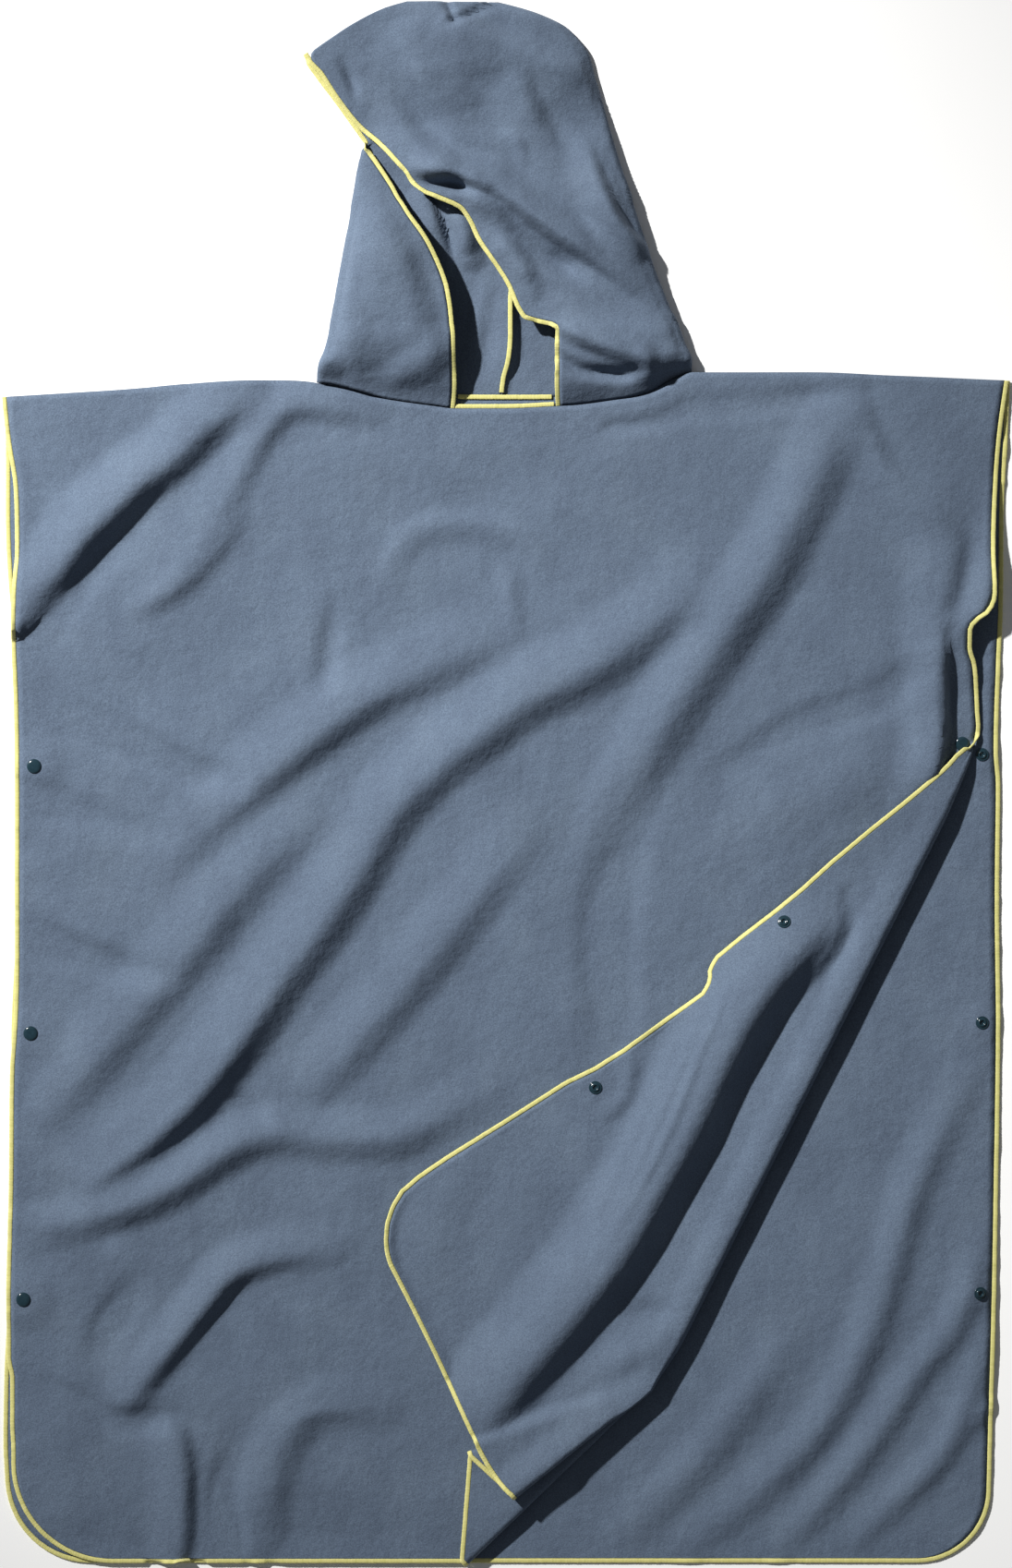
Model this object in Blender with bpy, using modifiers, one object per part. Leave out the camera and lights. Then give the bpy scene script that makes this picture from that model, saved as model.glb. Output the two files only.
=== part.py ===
"""Hooded bath poncho, laid flat with the corner of its front turned back.

Frame: metres, +X to the right, +Y towards the hood, +Z up, and the ground at z = 0.
The origin lies under the middle of the whole outline. Every table and function below
works in millimetres, and a mesh is scaled to metres when it is made.
"""
import math

import bmesh
import bpy
import numpy as np
from mathutils import Vector
from mathutils.bvhtree import BVHTree

MM = 0.001
NAME = "hooded_bath_poncho"

# Cloth, edging and seam sizes
WALL = 1.3
SEAM_GAP = 0.3
EDGE_GAP = 0.8
EDGING_WIDTH = 4.3
EDGING_HALF = 0.8
INSET = EDGING_WIDTH + SEAM_GAP
HEM_Y = -663.0
SHOULDER_Y = 345.0
CORNER_RADIUS = 62.0
BACK_Z = WALL / 2
FRONT_Z = 3.3
WELD = 1e-5

# Press fasteners
CAP_RADIUS = 6.2
CAP_HEIGHT = 1.4
SOCKET_RADIUS = 5.6
SOCKET_HEIGHT = 1.5
STUD_HEIGHT = 0.8
SNAP_Y_LEFT = (15.0, -212.0, -438.0)
SNAP_Y_RIGHT = (25.0, -203.0, -433.0)
SNAP_X = 403.0
BACK_LIFT = CAP_HEIGHT + 2 * SEAM_GAP
FRONT_LIFT = BACK_LIFT + SOCKET_HEIGHT + STUD_HEIGHT + 2 * SEAM_GAP + 0.6
LIFT_FLAT = 17.0
LIFT_REACH = 52.0
SNAP_COLUMNS = (0.0, 6.0, 34.0, 70.0)

# Turned-back corner: the pleat's vertex, the fold's upper end and the creases at the hem
VERTEX = np.array((122.0, -514.0))
FOLD_TOP = np.array((397.0, 33.0))
CREASE_A_HEM = np.array((-37.0, HEM_Y + INSET))
CREASE_C_HEM = np.array((-29.0, -568.0))
CREASE_B_HEM = np.array((9.0, -601.0))
ROLL_RADIUS = 9.5
PLEAT_RADII = {"a": 4.6, "c": 3.4, "b": 4.6}
LAYER_STEP = 3.0
ROLL_COLUMNS = 11
FLAP_COLUMNS = 9
LAYER_COLUMNS = 18

# Side edges of the panels: y, then x of the outer edge
FRONT_LEFT = ((-661, -421), (-500, -422), (-240, -422), (-150, -418), (70, -419), (252, -419), (345, -429))
FRONT_RIGHT = ((33, 400), (60, 403), (102, 400), (130, 396), (147, 411), (195, 416), (252, 418), (345, 428))
BACK_LEFT = ((-661, -425), (-500, -427), (-215, -425), (165, -426), (345, -428))
BACK_RIGHT = ((-661, 412), (-520, 415), (-350, 419), (0, 421), (150, 423), (240, 424), (345, 429))

# Top edges of the panels, x then y: shoulder, neck and shoulder
FRONT_TOP = (
    (-429, 329), (-330, 335), (-255, 341), (-163, 341), (-120, 329), (-60, 321), (-43, 319),
    (42, 321), (90, 326), (120, 331), (158, 350), (254, 350), (329, 347), (428, 343),
)
BACK_TOP = (
    (-429, 329), (-330, 335), (-255, 341), (-163, 341), (-120, 334), (-60, 330),
    (60, 330), (120, 335), (158, 350), (254, 350), (329, 347), (428, 343),
)
ROW_STEPS = (-585, -556, -535, -514, -485, -385, -345, -300, -262, -155, -118, -80, -38,
             18, 33, 72, 112, 150, 185, 220, 255, 290, 320, 345)

# Free edge of the turned-back corner, from the top of the fold to its rounded corner
FLAP_EDGE = (
    (397, 33), (381, 24), (366, 10), (306, -39), (250, -88), (176, -147), (167, -175),
    (100, -224), (50, -252), (0, -284), (-50, -315), (-90, -345),
)
FLAP_CORNER = ((-90, -345), (-100, -362), (-104, -377), (-104, -390), (-100, -408))

# Section across the turned-back corner: distance from the fold, height above its layer
FLAP_SECTION = ((0, 19.0), (18, 18.0), (47, 9.0), (70, 15.0), (90, 17.0), (125, 9.0), (170, 5.0), (400, 4.0))

# Largest folds of the front: points along the ridge, its height and half width
FRONT_FOLDS = (
    {"ridge": ((-255, 315), (-330, 240), (-410, 155)), "height": 9.0, "width": 42.0},
    {"ridge": ((60, 95), (-80, 10), (-205, -165), (-300, -290), (-360, -345)), "height": 11.0, "width": 48.0},
    {"ridge": ((-60, 110), (-170, 55), (-250, -15)), "height": 7.0, "width": 40.0},
    {"ridge": ((-45, -118), (-110, -170), (-175, -245)), "height": 7.0, "width": 36.0},
    {"ridge": ((-60, -285), (-200, -295), (-330, -368)), "height": 7.0, "width": 36.0},
    {"ridge": ((-170, -404), (-240, -425), (-310, -515)), "height": 7.0, "width": 36.0},
    {"ridge": ((285, 320), (215, 210), (140, 90)), "height": 9.0, "width": 55.0},
)
BACK_FOLDS = (
    {"ridge": ((385, -270), (325, -420), (215, -600)), "height": 3.0, "width": 38.0},
)

# Hood, by height y: outlines, face edges, centre-back seam, and height of the upper layers
HOOD_COLUMNS = ("y", "left", "left_face", "seam", "right_face", "right", "rise")
HOOD_ROWS = (
    (326, -160, -44, -4, 42, 157, 0.0),
    (345, -159, -44, -3, 41, 156, 5.0),
    (365, -154, -45, 3, 41, 153, 10.0),
    (388, -150, -46, 3, 41, 146, 14.0),
    (396, -149, -47, 3, 17, 142, 15.0),
    (412, -145, -48, 4, 5, 136, 16.0),
    (440, -140, -55, 8, -10, 125, 17.0),
    (462, -136, -67, 17, -25, 118, 17.0),
    (482, -132, -80, 30, -36, 111, 16.0),
    (496, -130, -88, 38, -52, 107, 15.0),
    (508, -128, -96, 45, -77, 103, 14.0),
    (528, -125, -108, 56, -97, 97, 11.0),
    (546, -122, -121, 68, -113, 91, 8.0),
    (566, -135, -135, 79, -130, 86, 7.0),
    (585, -150, -150, 80, -148, 80, 6.0),
    (603, -162, -162, 75, -159, 75, 5.0),
    (617, -171, -171, 71, -170, 71, 5.0),
    (628, -158, -158, 65, -158, 65, 4.0),
    (642, -135, -135, 52, -135, 52, 4.0),
    (655, -112, -112, 24, -112, 24, 4.0),
    (663, -88, -88, -4, -88, -4, 4.0),
)
HOOD_ROLL = 7.5
HOOD_UPPER_Z = 3.3
HOOD_SECTION_POINTS = 16
NECK_MATCH = 60.0
NECK_BEND_X = 118.0
NECK_BEND_GAP = 1.6
LEFT_RISE = 0.85
LEFT_ROLL_END = 546.0
LEFT_RISE_RUN = 55.0
HOOD_TIP_Y = 617
NECK_BAR = (-43.4, 41.4)
NECK_SEAM = (-40.0, 39.0, 329.6)
BACK_SEAM = (334.0, 500.0)
SEAM_EDGING_HEIGHT = 0.8

MATERIALS = {
    "cloth": {"color": (0.138, 0.174, 0.235, 1.0), "roughness": 0.92, "metallic": 0.0},
    "edging": {"color": (0.72, 0.77, 0.22, 1.0), "roughness": 0.85, "metallic": 0.0},
    "plastic": {"color": (0.020, 0.047, 0.070, 1.0), "roughness": 0.38, "metallic": 0.0},
}


# ---------------------------------------------------------------- small helpers
def smooth(t):
    t = min(1.0, max(0.0, t))
    return t * t * (3 - 2 * t)


def mix(a, b, t):
    return a + (b - a) * t


def read(table, value):
    """Straight-line reading of a table of pairs whose first numbers rise."""
    keys, values = zip(*table)
    return float(np.interp(value, keys, values))


def along(points, share):
    """The point at a share of a polyline's length."""
    points = np.array(points, dtype=float)
    steps = np.linalg.norm(np.diff(points, axis=0), axis=1)
    travelled = np.concatenate(([0.0], np.cumsum(steps)))
    target = share * travelled[-1]
    return np.array([np.interp(target, travelled, points[:, axis]) for axis in range(points.shape[1])])


def resample(points, count):
    return [along(points, index / (count - 1)) for index in range(count)]


def distance_to(points, place):
    """Distance from a place to a polyline."""
    nearest = math.inf
    for start, end in zip(points, points[1:]):
        start, end = np.array(start, dtype=float), np.array(end, dtype=float)
        run = end - start
        share = min(1.0, max(0.0, float(np.dot(place - start, run) / np.dot(run, run))))
        nearest = min(nearest, float(np.linalg.norm(place - start - share * run)))
    return nearest


def fold_height(folds, x, y):
    """Height that the soft folds add at a place."""
    total = 0.0
    for fold in folds:
        reach = distance_to(fold["ridge"], np.array((x, y))) / fold["width"]
        if reach < 1:
            total += fold["height"] * (1 - reach * reach) ** 2
    return total


def snap_lift(x, y, places, lift):
    """Height that a panel stands up by where a fastener lies under it."""
    best = 0.0
    for place_x, place_y in places:
        away = max(abs(x - place_x), abs(y - place_y))
        best = max(best, lift * smooth((LIFT_REACH - away) / (LIFT_REACH - LIFT_FLAT)))
    return best


# ---------------------------------------------------------------- panels
LEFT_SNAPS = tuple((-SNAP_X, y) for y in SNAP_Y_LEFT)
RIGHT_SNAPS = tuple((SNAP_X, y) for y in SNAP_Y_RIGHT)
FOLD_SNAP = (383.0, 36.0)


def side_x(table, y, inward):
    """x of a panel's side at y, INSET inside its outer edge, round the lower corner."""
    edge = read(table, y) + inward * INSET
    radius = CORNER_RADIUS - INSET
    below = HEM_Y + INSET + radius - y
    if below > 0:
        edge += inward * (radius - math.sqrt(max(0.0, radius * radius - below * below)))
    return edge


def to_top_edge(table, x, y):
    """Bend the upper rows of a panel to the shoulders and the neckline."""
    pull = smooth((y - SHOULDER_Y + 110.0) / 110.0)
    return y + pull * (read(table, x) - SHOULDER_Y)


def panel_rows():
    """Heights of the panel's rows: close at the corners and each side of the fasteners."""
    radius = CORNER_RADIUS - INSET
    corner = [HEM_Y + INSET + radius * (1 - math.cos(math.radians(a))) for a in (0, 22, 45, 67, 90)]
    snaps = [-450, -421, -224, -192, 4, 36]
    return sorted(set(corner + snaps + list(ROW_STEPS)))


def edge_columns(left, right, count):
    """x of a row's points: some near the left edge for the fasteners, the rest even."""
    near = [left + offset for offset in SNAP_COLUMNS]
    return near + list(np.linspace(near[-1], right, count - len(near) + 1)[1:])


def back_surface():
    rows = []
    for y in panel_rows():
        left, right = side_x(BACK_LEFT, y, 1), side_x(BACK_RIGHT, y, -1)
        columns = edge_columns(left, right - SNAP_COLUMNS[-1], 10)
        columns += [right - offset for offset in SNAP_COLUMNS[-2::-1]]
        row = []
        for x in columns:
            z = BACK_Z + fold_height(BACK_FOLDS, x, y)
            z += snap_lift(x, y, LEFT_SNAPS + RIGHT_SNAPS, BACK_LIFT)
            row.append((x, to_top_edge(BACK_TOP, x, y), z))
        rows.append(row)
    return rows


def front_height(x, y):
    z = FRONT_Z + fold_height(FRONT_FOLDS, x, y)
    return z + snap_lift(x, y, LEFT_SNAPS, FRONT_LIFT) + snap_lift(x, y, (FOLD_SNAP,), FRONT_LIFT)


FOLD_RUN = (FOLD_TOP - VERTEX) / np.linalg.norm(FOLD_TOP - VERTEX)
FOLD_OUT = np.array((FOLD_RUN[1], -FOLD_RUN[0]))


def crease_point(y):
    """Where a row of the front meets the fold: on the pleat's first crease or the long fold."""
    if y < VERTEX[1]:
        share = (VERTEX[1] - y) / (VERTEX[1] - CREASE_A_HEM[1])
        return mix(VERTEX, CREASE_A_HEM, share)
    share = (y - VERTEX[1]) / (FOLD_TOP[1] - VERTEX[1])
    return mix(VERTEX, FOLD_TOP, share)


def free_edge_point(y):
    """Where a row of the turned-back corner ends, INSET inside its outer edge."""
    corner_start = HEM_Y + CORNER_RADIUS
    if y > corner_start:
        share = (FOLD_TOP[1] - y) / (FOLD_TOP[1] - corner_start)
        path, step = FLAP_EDGE, 0.01
    else:
        sine = min(1.0, (corner_start - y) / (CORNER_RADIUS - INSET))
        share = math.asin(sine) / (math.pi / 2)
        path, step = FLAP_CORNER, 0.05
    place = along(path, share)
    run = along(path, min(1.0, share + step)) - along(path, max(0.0, share - step))
    run /= np.linalg.norm(run)
    inset = INSET * smooth((FOLD_TOP[1] - y) / 40.0)
    return place + inset * np.array((-run[1], run[0]))


def flap_height(place, y):
    """Height of the turned-back corner above the ground."""
    from_fold = max(0.0, float(np.dot(VERTEX - place, FOLD_OUT)))
    roll = roll_radius(y)
    share = 2 * roll / (2 * ROLL_RADIUS)
    tip = 5.0 * smooth(1 - distance_to((VERTEX, CREASE_B_HEM), place) / 45.0)
    return FRONT_Z + LAYER_STEP * (1 - share) + read(FLAP_SECTION, from_fold) * share + tip


def roll_radius(y):
    return ROLL_RADIUS * math.sqrt(min(1.0, max(0.0, (FOLD_TOP[1] - y) / 70.0)))


def roll_section(start, y):
    """Points over the long fold, from the lower layer to the upper one."""
    radius = roll_radius(y)
    low = front_height(*start)
    section = []
    for index in range(ROLL_COLUMNS):
        angle = math.pi * index / (ROLL_COLUMNS - 1)
        place = start + FOLD_OUT * radius * math.sin(angle)
        section.append(np.array((*place, low + radius * (1 - math.cos(angle)))))
    return section


def pleat_section(y):
    """Points through the pleat's three turns on a row below its vertex."""
    share = (VERTEX[1] - y) / (VERTEX[1] - CREASE_A_HEM[1])
    creases = [mix(VERTEX, hem, share) for hem in (CREASE_A_HEM, CREASE_C_HEM, CREASE_B_HEM)]
    radii = [radius * min(1.0, 0.4 + 0.9 * share) for radius in PLEAT_RADII.values()]
    heights = [front_height(*creases[0])]
    heights.append(heights[0] + 2 * radii[0])
    ends = [creases[0], creases[1], creases[2]]
    low = heights[0]
    section = []
    lift = low
    for number, (crease, radius) in enumerate(zip(ends, radii)):
        before = ends[number - 1] if number else crease - np.array((20.0, 0.0))
        outward = (crease - before) / max(1e-6, np.linalg.norm(crease - before))
        for angle in (0.0, 90.0, 180.0):
            turn = math.radians(angle)
            place = crease + outward * radius * (math.sin(turn) - 1.0) * min(1.0, share * 2)
            section.append(np.array((*place, lift + radius * (1 - math.cos(turn)))))
        lift += 2 * radius
        if number < 2:
            lift_after = lift - 0.35 * radius
            section.append(np.array((*mix(crease, ends[number + 1], 0.5), (lift + lift_after) / 2)))
            lift = lift_after
    return section


def front_surfaces():
    """Two joined surfaces: the lower layer, and the fold with the turned-back corner."""
    lower, upper = [], []
    for y in panel_rows():
        folded = y <= FOLD_TOP[1]
        left = side_x(FRONT_LEFT, y, 1)
        right = crease_point(y)[0] if folded else side_x(FRONT_RIGHT, y, -1)
        columns = edge_columns(left, right, LAYER_COLUMNS)
        lower.append([(x, to_top_edge(FRONT_TOP, x, y), front_height(x, y)) for x in columns])
        if not folded:
            continue
        start = crease_point(y)
        section = roll_section(start, y)
        if y < VERTEX[1]:
            share = (VERTEX[1] - y) / (VERTEX[1] - CREASE_A_HEM[1])
            weight = smooth(share / 0.35)
            section = [mix(a, b, weight) for a, b in zip(section, pleat_section(y))]
        section[0] = np.array(lower[-1][-1])
        end = free_edge_point(y)
        last = section[-1]
        for index in range(1, FLAP_COLUMNS + 1):
            share = index / FLAP_COLUMNS
            place = mix(last[:2], end, share)
            z = mix(last[2], flap_height(place, y), smooth(share * 4))
            section.append(np.array((*place, z)))
        upper.append(section)
    return lower, upper


# ---------------------------------------------------------------- hood
def hood_row(y):
    keys = [row[0] for row in HOOD_ROWS]
    return {name: float(np.interp(y, keys, [row[i] for row in HOOD_ROWS]))
            for i, name in enumerate(HOOD_COLUMNS)}


def arc_points(centre_x, centre_z, radius, side):
    """Half a turn from the ground layer up to the upper layer, bulging to one side."""
    angles = np.radians((-90, -45, 0, 45, 90))
    return [(centre_x + side * radius * math.cos(a), centre_z + radius * math.sin(a)) for a in angles]


def hood_section(row, side):
    """x and z along one half's section: seam, ground layer, roll, upper layer, face edge."""
    outline = row["left"] if side < 0 else row["right"]
    face = row["left_face"] if side < 0 else row["right_face"]
    seam = row["seam"] + side * (SEAM_GAP / 2)
    face += side * INSET * (1 if side > 0 or row["y"] < LEFT_ROLL_END else -1)
    low = BACK_Z
    upper_start = max(HOOD_UPPER_Z, low + 2 * HOOD_ROLL * smooth(row["rise"] / 12.0))
    lies_over = abs(outline - seam) < 4 * HOOD_ROLL and side > 0
    if side < 0 and row["left"] >= row["left_face"] - 2:
        return [(seam, low), (face, low)]
    if lies_over:
        edge = outline - 0.6
        return [(edge, HOOD_UPPER_Z), (mix(edge, face, 0.2), HOOD_UPPER_Z + 1.5), (face, HOOD_UPPER_Z)]
    radius = min((upper_start - low) / 2, max((HOOD_UPPER_Z - low) / 2, 0.3 * abs(face - outline)))
    centre = outline - side * radius
    turn = arc_points(centre, low + radius, radius, side)
    share = 1.0 if side > 0 else LEFT_RISE * smooth((LEFT_ROLL_END - row["y"]) / LEFT_RISE_RUN)
    crown = HOOD_UPPER_Z + row["rise"] * share
    middle = mix(centre, face, 0.55)
    return [(seam, low), *turn, (middle, max(upper_start, crown) + 0.8), (face, crown)]


def neck_y(x, z, back_top, front_top):
    """y of the neck seam: the back's edge for the ground layer, the front's for the upper."""
    edges = [np.interp(x, [p[0] for p in row], [p[1] for p in row]) for row in (back_top, front_top)]
    if abs(x) > NECK_BEND_X:
        return max(edges) + NECK_BEND_GAP
    return edges[0] if z < (BACK_Z + FRONT_Z) / 2 else edges[1]


def hood_surface(side, back_top, front_top):
    """One hood half, its first row along the neck seam."""
    rows = []
    for y, *_ in HOOD_ROWS:
        row = hood_row(y)
        points = resample(hood_section(row, side), HOOD_SECTION_POINTS)
        share = smooth((HOOD_ROWS[0][0] + NECK_MATCH - y) / NECK_MATCH)
        line = []
        for x, z in points:
            shift = share * (neck_y(x, z, back_top, front_top) + SEAM_GAP - HOOD_ROWS[0][0])
            line.append((x, y + shift, z))
        rows.append(line)
    return rows


# ---------------------------------------------------------------- edgings
def edge_frames(path):
    """Position, outward and normal directions along an edge, from (point, inner point) pairs."""
    frames = []
    for index, (point, inner) in enumerate(path):
        before = path[max(0, index - 1)][0]
        after = path[min(len(path) - 1, index + 1)][0]
        run = (Vector(after) - Vector(before)).normalized()
        outward = Vector(point) - Vector(inner)
        outward = (outward - run * outward.dot(run)).normalized()
        frames.append((Vector(point), outward, outward.cross(run).normalized()))
    return frames


def ribbon(bm, frames, low, high):
    """A closed strip beside an edge: four sides and two ends."""
    near, far = EDGE_GAP, SEAM_GAP + EDGING_WIDTH
    corners = ((near, low), (far, low), (far, high), (near, high))
    rings = []
    for point, outward, normal in frames:
        rings.append([bm.verts.new((point + outward * a + normal * b) * MM) for a, b in corners])
    for ring, following in zip(rings, rings[1:]):
        for index in range(4):
            after = (index + 1) % 4
            bm.faces.new((ring[index], ring[after], following[after], following[index]))
    bm.faces.new(rings[0][::-1])
    bm.faces.new(rings[-1])


def column(rows, index, inner, reverse=False):
    path = [(row[index], row[inner]) for row in rows]
    return path[::-1] if reverse else path


def level(path):
    """The same path with its outward directions level."""
    return [(point, (inner[0], inner[1], point[2])) for point, inner in path]


def back_edge_path(rows):
    left = column(rows, 0, 2, reverse=True)[:-1]
    hem = [(low, high) for low, high in zip(rows[0], rows[1])]
    right = column(rows, -1, -3)[1:]
    return level(left + hem + right)


def front_edge_path(lower, upper):
    left = column(lower, 0, 2, reverse=True)[:-1]
    hem = [(low, high) for low, high in zip(lower[0], lower[1])]
    turned = [(low, high) for low, high in zip(upper[0], upper[1])][1:]
    flap = column(upper[:-1], -1, -3)[1:]
    right = column(lower[len(upper) - 1:], -1, -3)
    return left + hem + turned + flap + right


def face_path(rows, inward, first, last):
    """The face edge of a hood half between two heights; the cloth lies to the inward side."""
    path = []
    for row, (y, *_) in zip(rows, HOOD_ROWS):
        if first <= y <= last:
            point = np.array(row[-1])
            path.append((point, point + np.array((20.0 * inward, 0.0, 0.0))))
    if first <= HOOD_ROWS[0][0]:
        start = mix(path[0][0], path[1][0], 0.12)
        path[0] = (start, start + np.array((20.0 * inward, 0.0, 0.0)))
    return path if inward < 0 else path[::-1]


# ---------------------------------------------------------------- Blender objects
def material(name):
    spec = MATERIALS[name]
    found = bpy.data.materials.get(name)
    if found:
        return found
    made = bpy.data.materials.new(name)
    made.use_nodes = True
    shader = made.node_tree.nodes["Principled BSDF"]
    shader.inputs["Base Color"].default_value = spec["color"]
    shader.inputs["Roughness"].default_value = spec["roughness"]
    shader.inputs["Metallic"].default_value = spec["metallic"]
    made.diffuse_color = spec["color"]
    return made


def add_object(collection, name, bm, material_name):
    bmesh.ops.recalc_face_normals(bm, faces=bm.faces)
    mesh = bpy.data.meshes.new(name)
    bm.to_mesh(mesh)
    bm.free()
    mesh.shade_smooth()
    mesh.set_sharp_from_angle(angle=math.radians(50))
    piece = bpy.data.objects.new(name, mesh)
    piece.data.materials.append(material(material_name))
    collection.objects.link(piece)
    return piece


def cloth_surface(patches):
    """One welded surface from patches of rows."""
    bm = bmesh.new()
    for rows in patches:
        grid = [[bm.verts.new(Vector(point) * MM) for point in row] for row in rows]
        for low, high in zip(grid, grid[1:]):
            for a, b, c, d in zip(low, low[1:], high[1:], high):
                bm.faces.new((a, b, c, d))
    bmesh.ops.remove_doubles(bm, verts=bm.verts, dist=WELD)
    return bm


def add_cloth(collection, name, patches):
    """A cloth wall: the welded surface, given its thickness both ways."""
    piece = add_object(collection, name, cloth_surface(patches), "cloth")
    wall = piece.modifiers.new("wall", "SOLIDIFY")
    wall.thickness = WALL * MM
    wall.offset = 0.0
    return piece


def add_ribbon(collection, name, path, low, high, adjust=None):
    frames = edge_frames(path)
    if adjust:
        adjust(frames)
    bm = bmesh.new()
    ribbon(bm, frames, low, high)
    return add_object(collection, name, bm, "edging")


def add_seam_edgings(collection, front_top):
    """The neck edging between the face edges, and the two overlocked seams inside the hood."""
    xs, ys = [p[0] for p in front_top], [p[1] for p in front_top]
    bar = []
    for x in np.linspace(*NECK_BAR, 5):
        y = float(np.interp(x, xs, ys))
        bar.append(((x, y, FRONT_Z), (x, y - 20.0, FRONT_Z)))
    add_ribbon(collection, "neck_edging", bar[::-1], -EDGING_HALF, EDGING_HALF)

    seam_z = BACK_Z + WALL / 2 + SEAM_GAP
    start, end, y = NECK_SEAM
    row = [((x, y - EDGING_WIDTH / 2 - SEAM_GAP, seam_z), (x, y - 20.0, seam_z)) for x in (start, end)]
    add_ribbon(collection, "neck_seam_edging", row[::-1], 0.0, SEAM_EDGING_HEIGHT)
    column_path = []
    for y in np.linspace(*BACK_SEAM, 9):
        x = hood_row(y)["seam"] - EDGING_WIDTH / 2 - SEAM_GAP
        column_path.append(((x, y, seam_z), (x - 20.0, y, seam_z)))
    add_ribbon(collection, "back_seam_edging", column_path, 0.0, SEAM_EDGING_HEIGHT)


def disc_profile(radius, height, face):
    """Half section of a fastener part, from its top at the axis down its outer side."""
    if face == "cap":
        edge = height * 0.45
        return ((0, height), (radius * 0.72, height * 0.96), (radius * 0.93, height * 0.7), (radius, edge), (radius, 0), (0, 0))
    rim, well = radius * 0.55, radius * 0.36
    return ((0, height * 0.45), (well, height * 0.45), (well, height), (rim, height), (radius, height * 0.45), (radius, 0), (0, 0))


def add_disc(collection, name, place, radius, height, face, flip=False):
    """A turned fastener part on its own vertical axis."""
    mesh = bpy.data.meshes.new(name)
    profile = [(x * MM, 0.0, z * MM) for x, z in disc_profile(radius, height, face)]
    mesh.from_pydata(profile, [(i, i + 1) for i in range(len(profile) - 1)], [])
    piece = bpy.data.objects.new(name, mesh)
    piece.data.materials.append(material("plastic"))
    piece.location = Vector(place) * MM
    piece.rotation_euler = (math.pi if flip else 0.0, 0.0, 0.0)
    turn = piece.modifiers.new("turn", "SCREW")
    turn.steps = 18
    turn.render_steps = 18
    turn.use_merge_vertices = True
    turn.merge_threshold = WELD
    collection.objects.link(piece)
    return piece


def surface_tree(patches):
    bm = cloth_surface(patches)
    tree = BVHTree.FromBMesh(bm)
    bm.free()
    return tree


def seat_height(tree, x, y, radius, above):
    """Height of the surface under a disc: its highest point, or its lowest from below."""
    found = []
    spots = [(x, y)]
    for index in range(12):
        angle = math.tau * index / 12
        for share in (0.5, 1.0):
            spots.append((x + share * radius * math.cos(angle), y + share * radius * math.sin(angle)))
    for spot in spots:
        hit = tree.ray_cast(Vector((spot[0] * MM, spot[1] * MM, 1.0)), Vector((0, 0, -1)))[0]
        if hit is not None:
            found.append(hit.z / MM)
    return max(found) + WALL / 2 + SEAM_GAP if above else min(found) - WALL / 2 - SEAM_GAP


def add_snap_pair(collection, label, tree, place, outer_up, inner_face, inner_radius, inner_height):
    """The cap on a panel's outer face and the socket or stud on its inner face."""
    x, y = place
    top = seat_height(tree, x, y, CAP_RADIUS, above=True)
    bottom = seat_height(tree, x, y, CAP_RADIUS, above=False)
    if outer_up:
        add_disc(collection, "cap_" + label, (x, y, top), CAP_RADIUS, CAP_HEIGHT, "cap")
        add_disc(collection, inner_face + "_" + label, (x, y, bottom), inner_radius, inner_height, "inner", flip=True)
    else:
        add_disc(collection, inner_face + "_" + label, (x, y, top), inner_radius, inner_height, "inner")
        add_disc(collection, "cap_" + label, (x, y, bottom), CAP_RADIUS, CAP_HEIGHT, "cap", flip=True)


def clear_scene():
    for piece in list(bpy.data.objects):
        bpy.data.objects.remove(piece, do_unlink=True)
    for group in list(bpy.data.collections):
        bpy.data.collections.remove(group)


def turn_over(frames):
    """Stand the edging upright where the side edge turns over at the top of the fold."""
    target = Vector((*FOLD_TOP, 0.0))
    nearest = min(range(len(frames)), key=lambda i: (frames[i][0] - target).xy.length)
    point, outward, _ = frames[nearest]
    run = (frames[nearest + 1][0] - frames[nearest - 1][0]).normalized()
    upright = Vector((0, 0, 1)) - run * run.z
    frames[nearest] = (point, upright.normalized(), upright.normalized().cross(run).normalized())


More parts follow.
